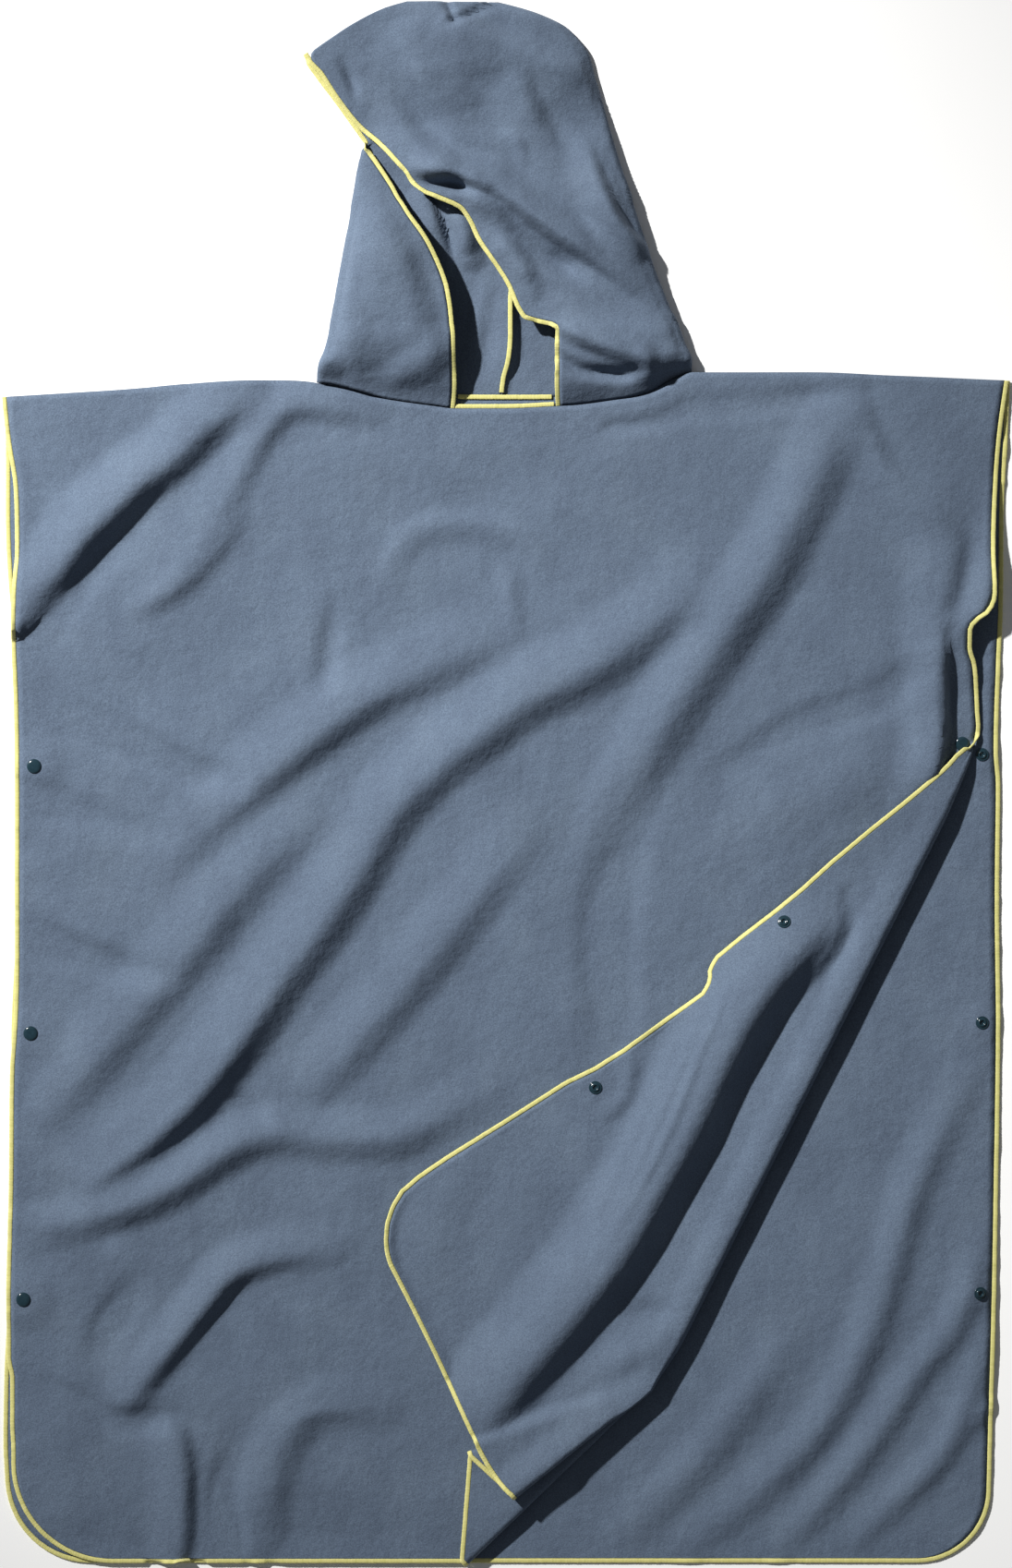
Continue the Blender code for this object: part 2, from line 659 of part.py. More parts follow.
def build():
    clear_scene()
    group = bpy.data.collections.new(NAME)
    bpy.context.scene.collection.children.link(group)

    back = back_surface()
    lower, upper = front_surfaces()
    hood_left, hood_right = (hood_surface(side, back[-1], lower[-1]) for side in (-1, 1))
    add_cloth(group, "back_panel", [back])
    add_cloth(group, "front_panel", [lower, upper])
    add_cloth(group, "hood_left", [hood_left])
    add_cloth(group, "hood_right", [hood_right])

    add_ribbon(group, "back_edging", back_edge_path(back), -BACK_Z, 2 * EDGING_HALF - BACK_Z)
    add_ribbon(group, "front_edging", front_edge_path(lower, upper), -EDGING_HALF, EDGING_HALF, turn_over)
    neck_y_start = HOOD_ROWS[0][0]
    faces = (
        ("hood_edging_left", hood_left, -1, neck_y_start, LEFT_ROLL_END - 30),
        ("hood_edging_tip", hood_left, 1, LEFT_ROLL_END + 15, HOOD_TIP_Y),
        ("hood_edging_right", hood_right, 1, neck_y_start, HOOD_TIP_Y),
    )
    for name, rows, inward, first, last in faces:
        add_ribbon(group, name, face_path(rows, inward, first, last), -WALL / 2, WALL / 2)
    add_seam_edgings(group, lower[-1])

    front_tree = surface_tree([lower, upper])
    back_tree = surface_tree([back])
    for number, (left, right) in enumerate(zip(LEFT_SNAPS, RIGHT_SNAPS), start=1):
        add_snap_pair(group, f"front_left_{number}", front_tree, left, True, "stud", SOCKET_RADIUS, STUD_HEIGHT)
        add_snap_pair(group, f"back_left_{number}", back_tree, left, False, "socket", SOCKET_RADIUS, SOCKET_HEIGHT)
        add_snap_pair(group, f"back_right_{number}", back_tree, right, False, "socket", SOCKET_RADIUS, SOCKET_HEIGHT)
    add_snap_pair(group, "front_right_1", front_tree, FOLD_SNAP, True, "stud", SOCKET_RADIUS, STUD_HEIGHT)
    for number, place in ((2, (236.0, -117.0)), (3, (76.0, -258.0))):
        add_snap_pair(group, f"front_right_{number}", front_tree, place, False, "stud", SOCKET_RADIUS, SOCKET_HEIGHT)


build()
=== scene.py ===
"""Looks of the hooded bath poncho: cloth shells with their folds, overlocked edging and fasteners.

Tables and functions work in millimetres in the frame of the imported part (+X right, +Y to the
hood, +Z up from the surface it lies on). A mesh is scaled to metres when it is made.
"""
import math

import bpy
import numpy as np
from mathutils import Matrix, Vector, noise


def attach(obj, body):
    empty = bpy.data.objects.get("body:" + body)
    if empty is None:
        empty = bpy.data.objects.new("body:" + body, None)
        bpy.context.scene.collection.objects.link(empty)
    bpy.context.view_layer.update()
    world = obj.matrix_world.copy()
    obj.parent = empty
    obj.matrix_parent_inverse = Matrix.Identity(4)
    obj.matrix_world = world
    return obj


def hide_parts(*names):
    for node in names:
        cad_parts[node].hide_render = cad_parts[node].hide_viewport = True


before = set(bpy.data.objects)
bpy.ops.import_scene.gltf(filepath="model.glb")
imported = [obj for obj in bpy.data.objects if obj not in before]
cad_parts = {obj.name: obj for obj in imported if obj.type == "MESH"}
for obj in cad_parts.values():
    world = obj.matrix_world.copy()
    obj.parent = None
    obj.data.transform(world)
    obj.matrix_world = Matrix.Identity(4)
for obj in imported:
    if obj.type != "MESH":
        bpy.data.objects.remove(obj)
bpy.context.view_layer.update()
MM = 0.001

# ------------------------------------------------------------------ sizes
WALL = 1.3
EDGING_WIDTH = 4.0
EDGING_SIDES = 10            # points round the strip, and their spacing along it
EDGING_STEP = 0.8
STITCH_PITCH = 2.5
THREAD_PITCH = 0.62
INSET = 4.4                  # how far the cloth stops inside the panel's outer line
CORNER_RADIUS = 62.0
FRONT_LEFT_RADIUS = 86.0
BACK_LEFT_RADIUS = 71.0
BACK_Z = 0.65                # middle of the back panel's wall
FRONT_Z = 3.3                # lowest level of the front panel
HEM_Y = -663.0
SHOULDER_Y = 345.0
PANEL_WIDTH = 850.0
RIGHT_X = 424.0              # right edge, where puckers and slopes start
GRID = 5.06                  # spacing of the cloth's points
BACK_GRID = 1.15 * GRID
FLAP_GRID = 4.8
HOOD_GRID = 3.0

# Light and camera: metres and degrees, with the lens, the sensor and the view in millimetres
LIGHT_FROM = np.array((-0.75, 0.66))    # direction in plan
KEY_ELEVATION = 38.0
KEY_DISTANCE = 12.0
KEY_SPREAD = 15.0
KEY_AIM = Vector((-0.35, 0.35, 0.0))
KEY_SIZE = 0.52
KEY_LEVEL = 0.051
FILL_LEVEL = 0.135
FOCAL_LENGTH = 135.0
SENSOR_HEIGHT = 36.0
VIEW_HEIGHT = 1332.93        # length of floor that the camera's frame covers
CAMERA_LIFT = 0.005
FLOOR_Z = -0.0006
FLOOR_SIZE = 14.0

# Turned-back corner of the front
VERTEX = np.array((122.0, -514.0))
FOLD_TOP = np.array((397.0, 33.0))
CREASE_HEM = {"a": np.array((-32.0, -662.0)), "c": np.array((-29.0, -566.0)), "b": np.array((9.0, -604.0))}
CREASE_RADIUS = {"a": 4.6, "c": 3.2, "b": 4.4}
ROLL_RADIUS = 6.8
ROLL_POINTS = 30
FLAP_TOP = 12.4              # height of the corner's body at the roll, and on its floor
FLAP_FLOOR = 2.4
COVER_REACH = 18.0           # how far the corner stays raised beyond the pleat
HEM_BOW = 6.5                # sideways bow of its hem, and where that is largest
HEM_BOW_AT = 42.0

# Press fasteners
LEFT_SNAPS = ((-401.0, 15.0), (-404.0, -212.0), (-410.0, -438.0))
RIGHT_SNAPS = ((405.0, 25.0), (405.0, -203.0), (403.0, -433.0))
FLAP_SNAPS = ((236.0, -117.0), (76.0, -258.0))
FOLD_SNAP = (388.0, 34.0)

# Outer edges of the panels. Sides are (y, x), all others are (x, y)
FRONT_LEFT = (
    (-663, -421), (-567, -421), (-545, -422), (-505, -422), (-488, -425), (-440, -425), (-330, -423),
    (-240, -422),
    (-215, -420), (-150, -418), (0, -418), (70, -419), (127, -421), (167, -420), (202, -418), (252, -419),
    (302, -425), (345, -429),
)
FRONT_RIGHT = (
    (33, 399), (40, 402), (48, 404), (60, 403), (82, 402), (102, 400), (115, 396), (130, 396), (140, 401),
    (147, 411), (165, 417), (195, 416), (252, 418), (302, 422), (345, 428),
)
BACK_LEFT = (
    (-663, -425), (-601, -426), (-559, -428), (-500, -427), (-440, -424), (-300, -420), (-215, -421),
    (-120, -417), (0, -416), (120, -418), (165, -423), (230, -426), (300, -426), (345, -428),
)
BACK_RIGHT = (
    (-663, 412), (-600, 413), (-520, 415), (-450, 417), (-350, 419), (-200, 421), (-100, 420), (0, 421),
    (27, 419), (100, 421), (150, 423), (240, 424), (290, 427), (345, 429),
)
FRONT_TOP = (
    (-429, 329), (-330, 335), (-255, 341), (-205, 343), (-163, 341), (-150, 337), (-120, 330), (-90, 325),
    (-60, 321), (-43, 319), (0, 319), (42, 321), (60, 322), (90, 326), (120, 331), (140, 340), (158, 350),
    (254, 350), (329, 347), (428, 343),
)
BACK_TOP = (
    (-429, 329), (-330, 335), (-255, 341), (-163, 341), (-120, 334), (-60, 330), (0, 329),
    (60, 330), (120, 335), (158, 350), (254, 350), (329, 347), (428, 343),
)
FLAP_EDGE = (
    (399, 33), (381, 24), (366, 10), (336, -15), (306, -39), (275, -65), (250, -88), (225, -108),
    (200, -127),
    (177, -146), (171, -157), (171, -166), (166, -176), (140, -195), (100, -224), (75, -240), (50, -252),
    (0, -284), (-50, -315), (-75, -332), (-90, -345),
)
FLAP_CORNER = ((-90, -345), (-98, -358), (-103, -373), (-104, -387), (-103, -398), (-100, -408))

HEM_TURNED = (
    (-75, -462), (-60, -487), (-45, -520), (-30, -548), (-20, -561), (-8, -578), (9, -606), (9, -664),
)

# Factors on the heights of FRONT_FOLDS, of both halves of the hood and of BACK_FOLDS
FRONT_GAIN = 1.55
HOOD_GAIN = 1.5
BACK_GAIN = 1.7

# Folds: ridge line, height, reach on the lit side and on the shaded side, crispness.
# A negative height is a trough.
FRONT_FOLDS = (
    # upper left, from the shoulder to the side edge
    ((-222, 331, 4), (-257, 305, 8), (-281, 281, 9), (-310, 258, 9.5), (-334, 234, 9.5), (-358, 211, 9),
     (-381, 181, 8), (-405, 158, 7), (-424, 136, 6), 44, 26, 0.25),
    ((-372, 166, 0.5), (-390, 150, 2.5), (-404, 138, 3), (-422, 126, 2), 12, 8, 0.5),
    ((-300, 235, -1), (-340, 196, -2.5), (-372, 160, -3), (-405, 118, -3), 22, 24, 0.1),
    ((-118, 330, 1.5), (-150, 327, 4), (-188, 320, 5), (-206, 300, 4.5), (-222, 270, 3), (-250, 225, 2.5),
     (-276, 190, 2), (-300, 160, 1), 30, 18, 0.3),
    ((-225, 232, 1), (-250, 196, 3), (-280, 166, 3), (-308, 150, 1), 22, 14, 0.3),
    ((-104, 170, 0.5), (-82, 212, 2), (-30, 222, 2.4), (20, 208, 2), (38, 182, 0.5), 14, 20, 0.1),
    ((2, 186, 0.5), (4, 160, 2), (8, 128, 0.6), 14, 12, 0.2),
    ((-146, 150, -1), (-150, 120, -3), (-155, 84, -2), 14, 16, 0.2),
    # the long folds from the middle to the left side
    ((-2, 126, 1), (-24, 118, 3), (-62, 100, 5), (-122, 69, 7), (-163, 40, 7), (-222, -7, 5),
     (-258, -40, 3),
     (-290, -66, 1), 44, 26, 0.25),
    ((180, 184, 1), (150, 157, 4), (102, 118, 6.5), (62, 93, 7.5), (15, 70, 8), (-16, 47, 8),
     (-48, 24, 8), (-72, 2, 8),
     (-96, -24, 8), (-135, -89, 8), (-164, -130, 8.5), (-188, -160, 8.5), (-211, -195, 9),
     (-246, -242, 9.5),
     (-270, -271, 9.5), (-305, -301, 8), (-350, -334, 4), (-372, -346, 1), 46, 30, 0.25),
    ((-196, -178, 0.3), (-236, -236, 1), (-266, -272, 1.4), (-300, -304, 1.6), (-345, -336, 1.2),
     (-362, -344, 0.3), 16, 11, 0.4),
    ((-232, -266, -0.5), (-220, -272, -1.6), (-207, -284, -1.6), (-204, -292, -0.5), 9, 9, 0.2),
    ((-150, -22, 1), (-190, -48, 3), (-223, -83, 5), (-264, -136, 5.5), (-305, -183, 5.5), (-346, -230, 5),
     (-378, -265, 3), (-400, -290, 1), 44, 28, 0.2),
    ((36, -28, 1), (0, -64, 3), (-48, -126, 4.5), (-84, -170, 5), (-122, -212, 5), (-158, -250, 3),
     (-186, -268, 1), 40, 28, 0.2),
    ((-20, -264, 1), (-70, -291, 4), (-105, -302, 5), (-150, -302, 5.5), (-188, -297, 6), (-230, -307, 7.5),
     (-276, -337, 8), (-328, -361, 7.5), (-369, -371, 5), (-400, -380, 2), 30, 24, 0.3),
    ((-150, -398, 1.5), (-195, -402, 5), (-232, -416, 7), (-254, -440, 7.5), (-278, -470, 7),
     (-302, -500, 6),
     (-322, -526, 3), 30, 18, 0.35),
    ((-60, 60, 1), (-20, 20, 2), (0, -30, 1.5), 40, 40, 0.0),
    # soft troughs off the left side edge
    ((-414, 68, -5), (-371, 56, -6), (-312, 33, -6), (-265, 9, -5), (-230, 3, -2), 20, 22, 0.2),
    ((-412, -12, -3), (-360, -24, -3), (-330, -34, -2), (-295, -42, -1), 20, 22, 0.2),
    ((-418, -122, -5), (-360, -146, -5), (-320, -158, -4), (-290, -162, -2), 20, 22, 0.25),
    ((-418, -335, -3), (-380, -350, -3), (-340, -380, -2), 22, 22, 0.2),
    ((-310, -424, -1), (-330, -449, -3), (-345, -477, -2), 22, 24, 0.1),
    # lower left corner
    ((-430, -499, -4), (-400, -503, -4), (-378, -512, -3), (-356, -524, -2), 7, 12, 0.8),
    ((-356, -520, -1), (-340, -536, -3), (-312, -542, -4), (-288, -538, -3), (-270, -545, -1), 16, 18, 0.2),
    ((-300, -528, 1), (-280, -556, 5), (-275, -600, 5.5), (-276, -640, 5), (-280, -659, 4), 34, 15, 0.3),
    ((-232, -560, -1), (-240, -600, -3), (-236, -645, -2), 18, 22, 0.1),
    ((-205, -640, 2), (-200, -590, 4), (-185, -550, 4), (-150, -528, 3), (-110, -530, 1.5), 30, 26, 0.1),
    ((-184, -541, 0.5), (-164, -535, 1.6), (-144, -532, 1.8), (-125, -535, 0.6), 6, 7, 0.5),
    # upper right
    ((290, 332, 1.5), (280, 300, 4), (266, 270, 6), (244, 226, 8), (224, 186, 8.5), (200, 150, 8.5),
     (172, 110, 8),
     (146, 72, 7.5), (124, 36, 6.5), (104, -4, 5), (92, -36, 3), (84, -70, 1), 40, 34, 0.15),
    ((90, 322, -2), (160, 318, -3), (240, 324, -3), (310, 334, -1), 10, 16, 0.3),
    ((294, 324, 1), (306, 300, 3), (320, 268, 3.5), (344, 244, 3.5), (366, 226, 3), (380, 208, 1),
     30, 16, 0.4),
    ((378, 215, 1), (374, 190, 4), (372, 165, 5.5), (371, 140, 4.5), (371, 115, 2), (371, 95, 0.5),
     42, 26, 0.25),
    ((345, 96, -2), (336, 88, -4), (319, 74, -4), (289, 64, -4), (254, 52, -3), (216, 32, -2),
     (186, 12, -1), 18, 22, 0.35),
    ((120, 20, -1), (104, -30, -3), (94, -80, -4), (86, -150, -4), (90, -200, -3), (84, -245, -1),
     34, 34, 0.1),
    ((180, -60, 1), (230, -20, 2), (300, 10, 2), 40, 40, 0.0),
    # the bulge beside the right edge that overhangs the cap, and the raised notch of the edge
    ((369, 145, 0.5), (368, 125, 4), (368, 106, 8), (368, 60, 9), (366, 25, 9), (360, 2, 7),
     (350, -16, 2), 38, 9, 0.35),
    ((424, 250, 1), (417, 205, 4), (413, 175, 8), (404, 148, 9), (394, 124, 5), (396, 100, 2), 24, 20, 0.1),
)
FLAP_FOLDS = (
    # the high ridge, steep on its shaded side, that starts at the upper socket
    ((278, -104, 3), (260, -125, 12), (235, -153, 20), (209, -188, 22.5), (186, -228, 23.5),
     (158, -287, 23.5), (128, -342, 23),
     (94, -400, 23), (62, -441, 21), (30, -479, 19), (1, -514, 16), (-14, -538, 12), (-25, -555, 7),
     58, 33, 0.12),
    # fine pleats along the ridge
    ((186, -178, 1), (164, -228, 2.2), (142, -284, 2.4), (114, -340, 1.8), (88, -388, 0.6), 8, 7, 0.5),
    ((166, -196, 1), (146, -244, 2.2), (122, -300, 2.2), (98, -354, 1.2), 10, 8, 0.5),
    ((146, -218, 1), (126, -262, 1.8), (100, -318, 1.6), (76, -364, 0.8), 12, 9, 0.4),
    # curl crease beside the lower socket, and the dimple at the upper one
    ((104, -224, 1), (105, -248, 3), (100, -268, 3), (84, -280, 1), 12, 12, 0.4),
    ((290, -96, -2), (294, -120, -4), (286, -142, -3), (270, -168, -2), 13, 14, 0.3),
    # hollow and bulge where the fold meets the pleat
    ((104, -450, -1), (120, -447, -3), (136, -448, -3), (152, -456, -2), 12, 12, 0.2),
    ((84, -500, 2), (108, -484, 5), (138, -478, 5), 24, 20, 0.2),
    ((-20, -300, 1), (-50, -345, 2), (-70, -400, 1), 34, 34, 0.1),
)
BACK_FOLDS = (
    ((392, -250, 1), (345, -350, 4), (325, -420, 4), (300, -490, 4), (265, -550, 4), (215, -600, 3),
     (160, -645, 1), 26, 22, 0.25),
    ((405, -390, 1), (380, -460, 4), (350, -500, 4), (310, -560, 4), (270, -610, 3), (236, -646, 1),
     22, 20, 0.25),
    ((412, -462, 1), (395, -520, 3), (370, -570, 4), (330, -612, 3), (300, -640, 1), 20, 18, 0.25),
    ((414, -523, 1), (406, -532, 3), (399, -547, 1), 8, 8, 0.5),
    ((240, -470, 1), (200, -530, 3), (150, -590, 3), (100, -635, 1), 26, 26, 0.1),
)

# Hood by height: outlines, face edges, seam, and how high the upper layers stand
HOOD_COLUMNS = ("y", "left", "left_face", "seam", "right_face", "right", "left_rise", "right_rise")
HOOD_ROWS = (
    (326, -161, -43, -4, 42, 158, 0.0, 0.0),
    (345, -159, -41.5, -2, 41, 157, 8.0, 12.0),
    (360, -155, -42, 2, 41, 154, 14.0, 15.5),
    (385, -150, -43, 4, 41, 148, 18.5, 15.5),
    (391, -149, -44, 4, 37, 146, 18.5, 14.5),
    (394, -148.6, -44, 4, 28, 145, 18.7, 14.0),
    (396, -148, -44.5, 4, 17, 144, 19.0, 14.0),
    (402, -147, -45, 4, 10, 140, 19.5, 14.0),
    (412, -145, -46.5, 4, 5, 136, 20.5, 14.0),
    (424, -143, -49, 5, 0, 131, 21.0, 14.0),
    (440, -140, -55, 8, -10, 125, 21.5, 14.0),
    (462, -136, -66, 17, -25, 118, 20.5, 14.5),
    (482, -132, -80, 30, -35, 111, 17.0, 16.0),
    (492, -131, -86, 34, -44, 108, 12.0, 17.0),
    (498, -130, -90, 38, -58, 107, 9.0, 17.0),
    (504, -129, -93, 42, -73, 105, 6.0, 17.0),
    (523, -126, -105, 54, -90, 98, 3.5, 14.0),
    (546, -121.5, -121, 68, -111, 91, 1.5, 10.0),
    (560, -131, -131, 76, -127, 87, 0.0, 8.0),
    (585, -149, -149, 79, -147, 80, 0.0, 9.0),
    (605, -164, -164, 74, -160, 74, 0.0, 9.0),
    (617, -171, -171, 71, -170, 71, 0.0, 8.0),
    (623, -163, -163, 68.5, -163, 68.5, 0.0, 7.5),
    (633, -149, -149, 61, -149, 61, 0.0, 7.0),
    (645, -131, -131, 48, -131, 48, 0.0, 6.5),
    (655, -112, -112, 26, -112, 26, 0.0, 6.0),
    (660, -99, -99, 10, -99, 10, 0.0, 5.4),
    (664, -84, -84, -6, -84, -6, 0.0, 4.6),
)
HOOD_TIP_Y = 617.0
HOOD_ROLL = 5.8              # radius of the roll at the outline, and at the flat tip
TIP_RADIUS = 1.3
HOOD_FOLDS_RIGHT = (
    ((-84, 523, 1), (-66, 521, 6), (-48, 519, 8), (-30, 515, 8), (-10, 508, 8), (8, 495, 9), (27, 480, 10),
     (48, 465, 10), (70, 451, 8), (94, 434, 5), (114, 418, 1), 26, 12, 0.3),
    ((-72, 511, -1), (-59, 510, -6), (-46, 509, -8), (-36, 507, -6), (-28, 503, -1), 9, 9, 0.3),
    ((-28, 505, 3), (-20, 497, 6), (-9, 486, 4), (9, 468, -1), (31, 450, -5), (49, 441, -7), (62, 434, -3),
     (72, 430, -0.5), 15, 15, 0.1),
    ((-12, 462, 1), (2, 452, 4), (14, 436, 4), (22, 420, 2), 16, 14, 0.3),
    ((38, 366, -3), (60, 353, -6), (84, 349, -7), (102, 348, -6), (112, 352, -2), 10, 10, 0.3),
    ((110, 374, 1), (119, 362, 3), (123, 350, 2), 12, 12, 0.2),
    ((40, 394, 2), (64, 380, 7), (90, 370, 8), (110, 363, 5), (128, 358, 1), 28, 12, 0.3),
    ((66, 548, 1), (79, 507, 7), (97, 471, 9), (112, 456, 7), (122, 448, 2), 26, 9, 0.35),
    ((-58, 651, 3), (-40, 642, 6), (-13, 630, 8), (20, 617, 8), (50, 604, 6), (68, 594, 3), 20, 40, 0.4),
    ((-76, 654, 2), (-72, 634, 6), (-66, 608, 7), (-60, 584, 4), (-56, 566, 1), 44, 74, 0.0),
    ((4, 606, 1), (12, 585, 5), (22, 562, 5), (36, 536, 3), (50, 510, 1), 34, 19, 0.15),
    ((-92, 606, -2), (-84, 588, -4), (-66, 560, -5), (-46, 540, -3), (-20, 528, -1), 20, 20, 0.1),
    ((-10, 664, -3), (-27, 655, -5), (-44, 648, -5), (-50, 646, -1), 5, 5, 0.6),
    ((-52, 666, -3), (-47, 656, -4), (-43, 648, -2), 6, 6, 0.4),
    ((-138, 612, -1), (-132, 598, -3), (-128, 584, -1), 8, 9, 0.3),
    ((-100, 560, 1), (-86, 535, 3), (-60, 525, 2), 24, 18, 0.1),
    ((46, 392, 0.5), (58, 384, 1.8), (72, 372, 0.8), 8, 8, 0.3),
    ((0, 552, 0.6), (10, 545, 2), (14, 530, 0.8), 9, 8, 0.4),
)
HOOD_FOLDS_LEFT = (
    ((-118, 500, 2), (-126, 450, 4.2), (-132, 400, 5.2), (-138, 360, 5), (-142, 340, 1), 30, 84, 0.1),
    ((-120, 520, 1), (-105, 470, 4), (-85, 420, 5), (-70, 370, 4), (-60, 340, 2), 40, 24, 0.15),
    ((-150, 395, -1), (-146, 370, -3), (-138, 350, -2), 14, 14, 0.2),
    ((-118, 330, 1), (-90, 345, 3), (-62, 360, 3), (-48, 380, 1), 20, 20, 0.1),
)
# Inside the hood: the bulge at its back, and the upright seam
HOOD_FLOOR_FOLDS = (
    ((-46, 492, 5), (-38, 478, 12), (-34, 462, 11), (-32, 448, 5), 14, 18, 0.1),
    ((-80, 508, 2), (-69, 496, 8), (-61, 478, 10), (-55, 460, 6), (-50, 444, 2), 24, 7, 0.2),
    ((4, 418, 3), (3, 400, 6), (4, 380, 7), (3, 365, 7), (-2, 350, 4), (-4, 334, 2), 24, 9, 0.3),
    ((-16, 430, 1), (-20, 405, 3), (-26, 372, 2), (-24, 345, 1), 12, 12, 0.1),
)


# ------------------------------------------------------------------ small maths
def smooth(t):
    t = np.clip(t, 0.0, 1.0)
    return t * t * (3 - 2 * t)


def mix(a, b, t):
    return a + (b - a) * t


def unit(v):
    return v / max(1e-9, float(np.linalg.norm(v)))


def steady(keys, values, at):
    """Smooth reading of a table that never swings past its own values."""
    keys, values = np.asarray(keys, float), np.asarray(values, float)
    slope = np.diff(values) / np.diff(keys)
    tangent = np.concatenate(([slope[0]], (slope[1:] + slope[:-1]) / 2, [slope[-1]]))
    for i, s in enumerate(slope):
        if abs(s) < 1e-9:
            tangent[i] = tangent[i + 1] = 0.0
            continue
        a, b = tangent[i] / s, tangent[i + 1] / s
        tangent[i], tangent[i + 1] = max(0.0, a) * s, max(0.0, b) * s
        size = math.hypot(max(0.0, a), max(0.0, b))
        if size > 3:
            tangent[i] *= 3 / size
            tangent[i + 1] *= 3 / size
    at = np.clip(at, keys[0], keys[-1])
    i = np.clip(np.searchsorted(keys, at) - 1, 0, len(slope) - 1)
    width = keys[i + 1] - keys[i]
    t = (at - keys[i]) / width
    h00, h10 = 2 * t**3 - 3 * t**2 + 1, t**3 - 2 * t**2 + t
    h01, h11 = -2 * t**3 + 3 * t**2, t**3 - t**2
    return h00 * values[i] + h10 * width * tangent[i] + h01 * values[i + 1] + h11 * width * tangent[i + 1]


def edge_of(rows, at):
    keys, values = zip(*rows)
    return steady(keys, values, at)


def lengths(points):
    return np.concatenate(([0.0], np.cumsum(np.linalg.norm(np.diff(points, axis=0), axis=1))))


def curve_through(points, count):
    """A smooth curve of evenly spaced points through given ones."""
    points = np.asarray(points, float)
    travelled = lengths(points)
    at = np.linspace(0, travelled[-1], count)
    return np.stack([steady(travelled, points[:, k], at) for k in range(points.shape[1])], axis=1)


def along(points, share):
    points = np.asarray(points, float)
    travelled = lengths(points)
    at = np.asarray(share) * travelled[-1]
    return np.stack([np.interp(at, travelled, points[:, k]) for k in range(points.shape[1])], axis=-1)


def nearest_on(path, x, y):
    """Distance to a path, how far off its line (positive on the lit side), and the height read along it."""
    best = np.full(x.shape, np.inf)
    across = np.zeros(x.shape)
    height = np.zeros(x.shape)
    run_all = path[-1, :2] - path[0, :2]
    lit = 1.0 if run_all[0] * LIGHT_FROM[1] - run_all[1] * LIGHT_FROM[0] > 0 else -1.0
    for start, end in zip(path, path[1:]):
        run = end[:2] - start[:2]
        dx, dy = x - start[0], y - start[1]
        t = np.clip((dx * run[0] + dy * run[1]) / max(1e-9, run @ run), 0, 1)
        away = np.hypot(dx - t * run[0], dy - t * run[1])
        nearer = away < best
        best = np.where(nearer, away, best)
        across = np.where(nearer, (run[0] * dy - run[1] * dx) * lit / max(1e-9, math.hypot(*run)), across)
        height = np.where(nearer, start[2] + t * (end[2] - start[2]), height)
    return best, across, height


def fold_profile(u, crisp):
    soft = (1 - u * u) ** 2
    sharp = (1 - np.sqrt(u * u + 0.004)) ** 2
    return np.where(u < 1, mix(soft, sharp, crisp), 0.0)


def folds(table, x, y):
    """Height that a table of folds adds over a grid of places."""
    total = np.zeros(x.shape)
    for row in table:
        nodes, (lit_reach, shade_reach, crisp) = row[:-3], row[-3:]
        reach = max(lit_reach, shade_reach)
        xs, ys = [n[0] for n in nodes], [n[1] for n in nodes]
        near = (x > min(xs) - reach) & (x < max(xs) + reach) & (y > min(ys) - reach) & (y < max(ys) + reach)
        if not near.any():
            continue
        path = curve_through(nodes, 6 * len(nodes))
        away, across, height = nearest_on(path, x[near], y[near])
        blend = smooth(0.5 + 0.5 * across / (0.35 * reach))
        width = mix(shade_reach, lit_reach, blend)
        total[near] += height * fold_profile(away / width, crisp)
    return total


def waves(x, y, sizes, seed):
    """Slow uneven waviness of laid cloth: (wavelength, height) pairs."""
    total = np.zeros(x.shape)
    flat_x, flat_y = x.ravel(), y.ravel()
    for number, (wavelength, height) in enumerate(sizes):
        offset = seed * 17.3 + number * 5.1
        values = [noise.noise(Vector((a / wavelength, b / wavelength, offset)))
                  for a, b in zip(flat_x, flat_y)]
        total += height * np.array(values).reshape(x.shape)
    return total


def puckers(inside, along_edge, seed):
    """Small puckers that the edging draws up in the cloth beside it."""
    line = np.array([noise.noise(Vector((v / 9.0, seed, 1.7))) for v in along_edge[:, 0]])
    broad = np.array([noise.noise(Vector((v / 21.0, seed, 8.9))) for v in along_edge[:, 0]])
    return line[:, None] * 1.5 * np.exp(-inside / 8.0) + broad[:, None] * 2.2 * np.exp(-inside / 20.0)


def rise_at(x, y, places, height, flat=8.0, reach=34.0):
    total = np.zeros(x.shape)
    for place_x, place_y in places:
        away = np.hypot(x - place_x, y - place_y)
        total = np.maximum(total, height * smooth((reach - away) / (reach - flat)))
    return total


# ------------------------------------------------------------------ panel surfaces
def side_x(table, y, inward, corner_radius=CORNER_RADIUS):
    """x of a panel's side, INSET inside its outer edge and round the lower corner."""
    radius = corner_radius - INSET
    below = np.maximum(0.0, HEM_Y + INSET + radius - y)
    corner = radius - np.sqrt(np.maximum(0.0, radius * radius - below * below))
    return edge_of(table, y) + inward * (INSET + corner)


def top_bend(table, x, y):
    return y + smooth((y - SHOULDER_Y + 110.0) / 110.0) * (edge_of(table, x) - SHOULDER_Y)


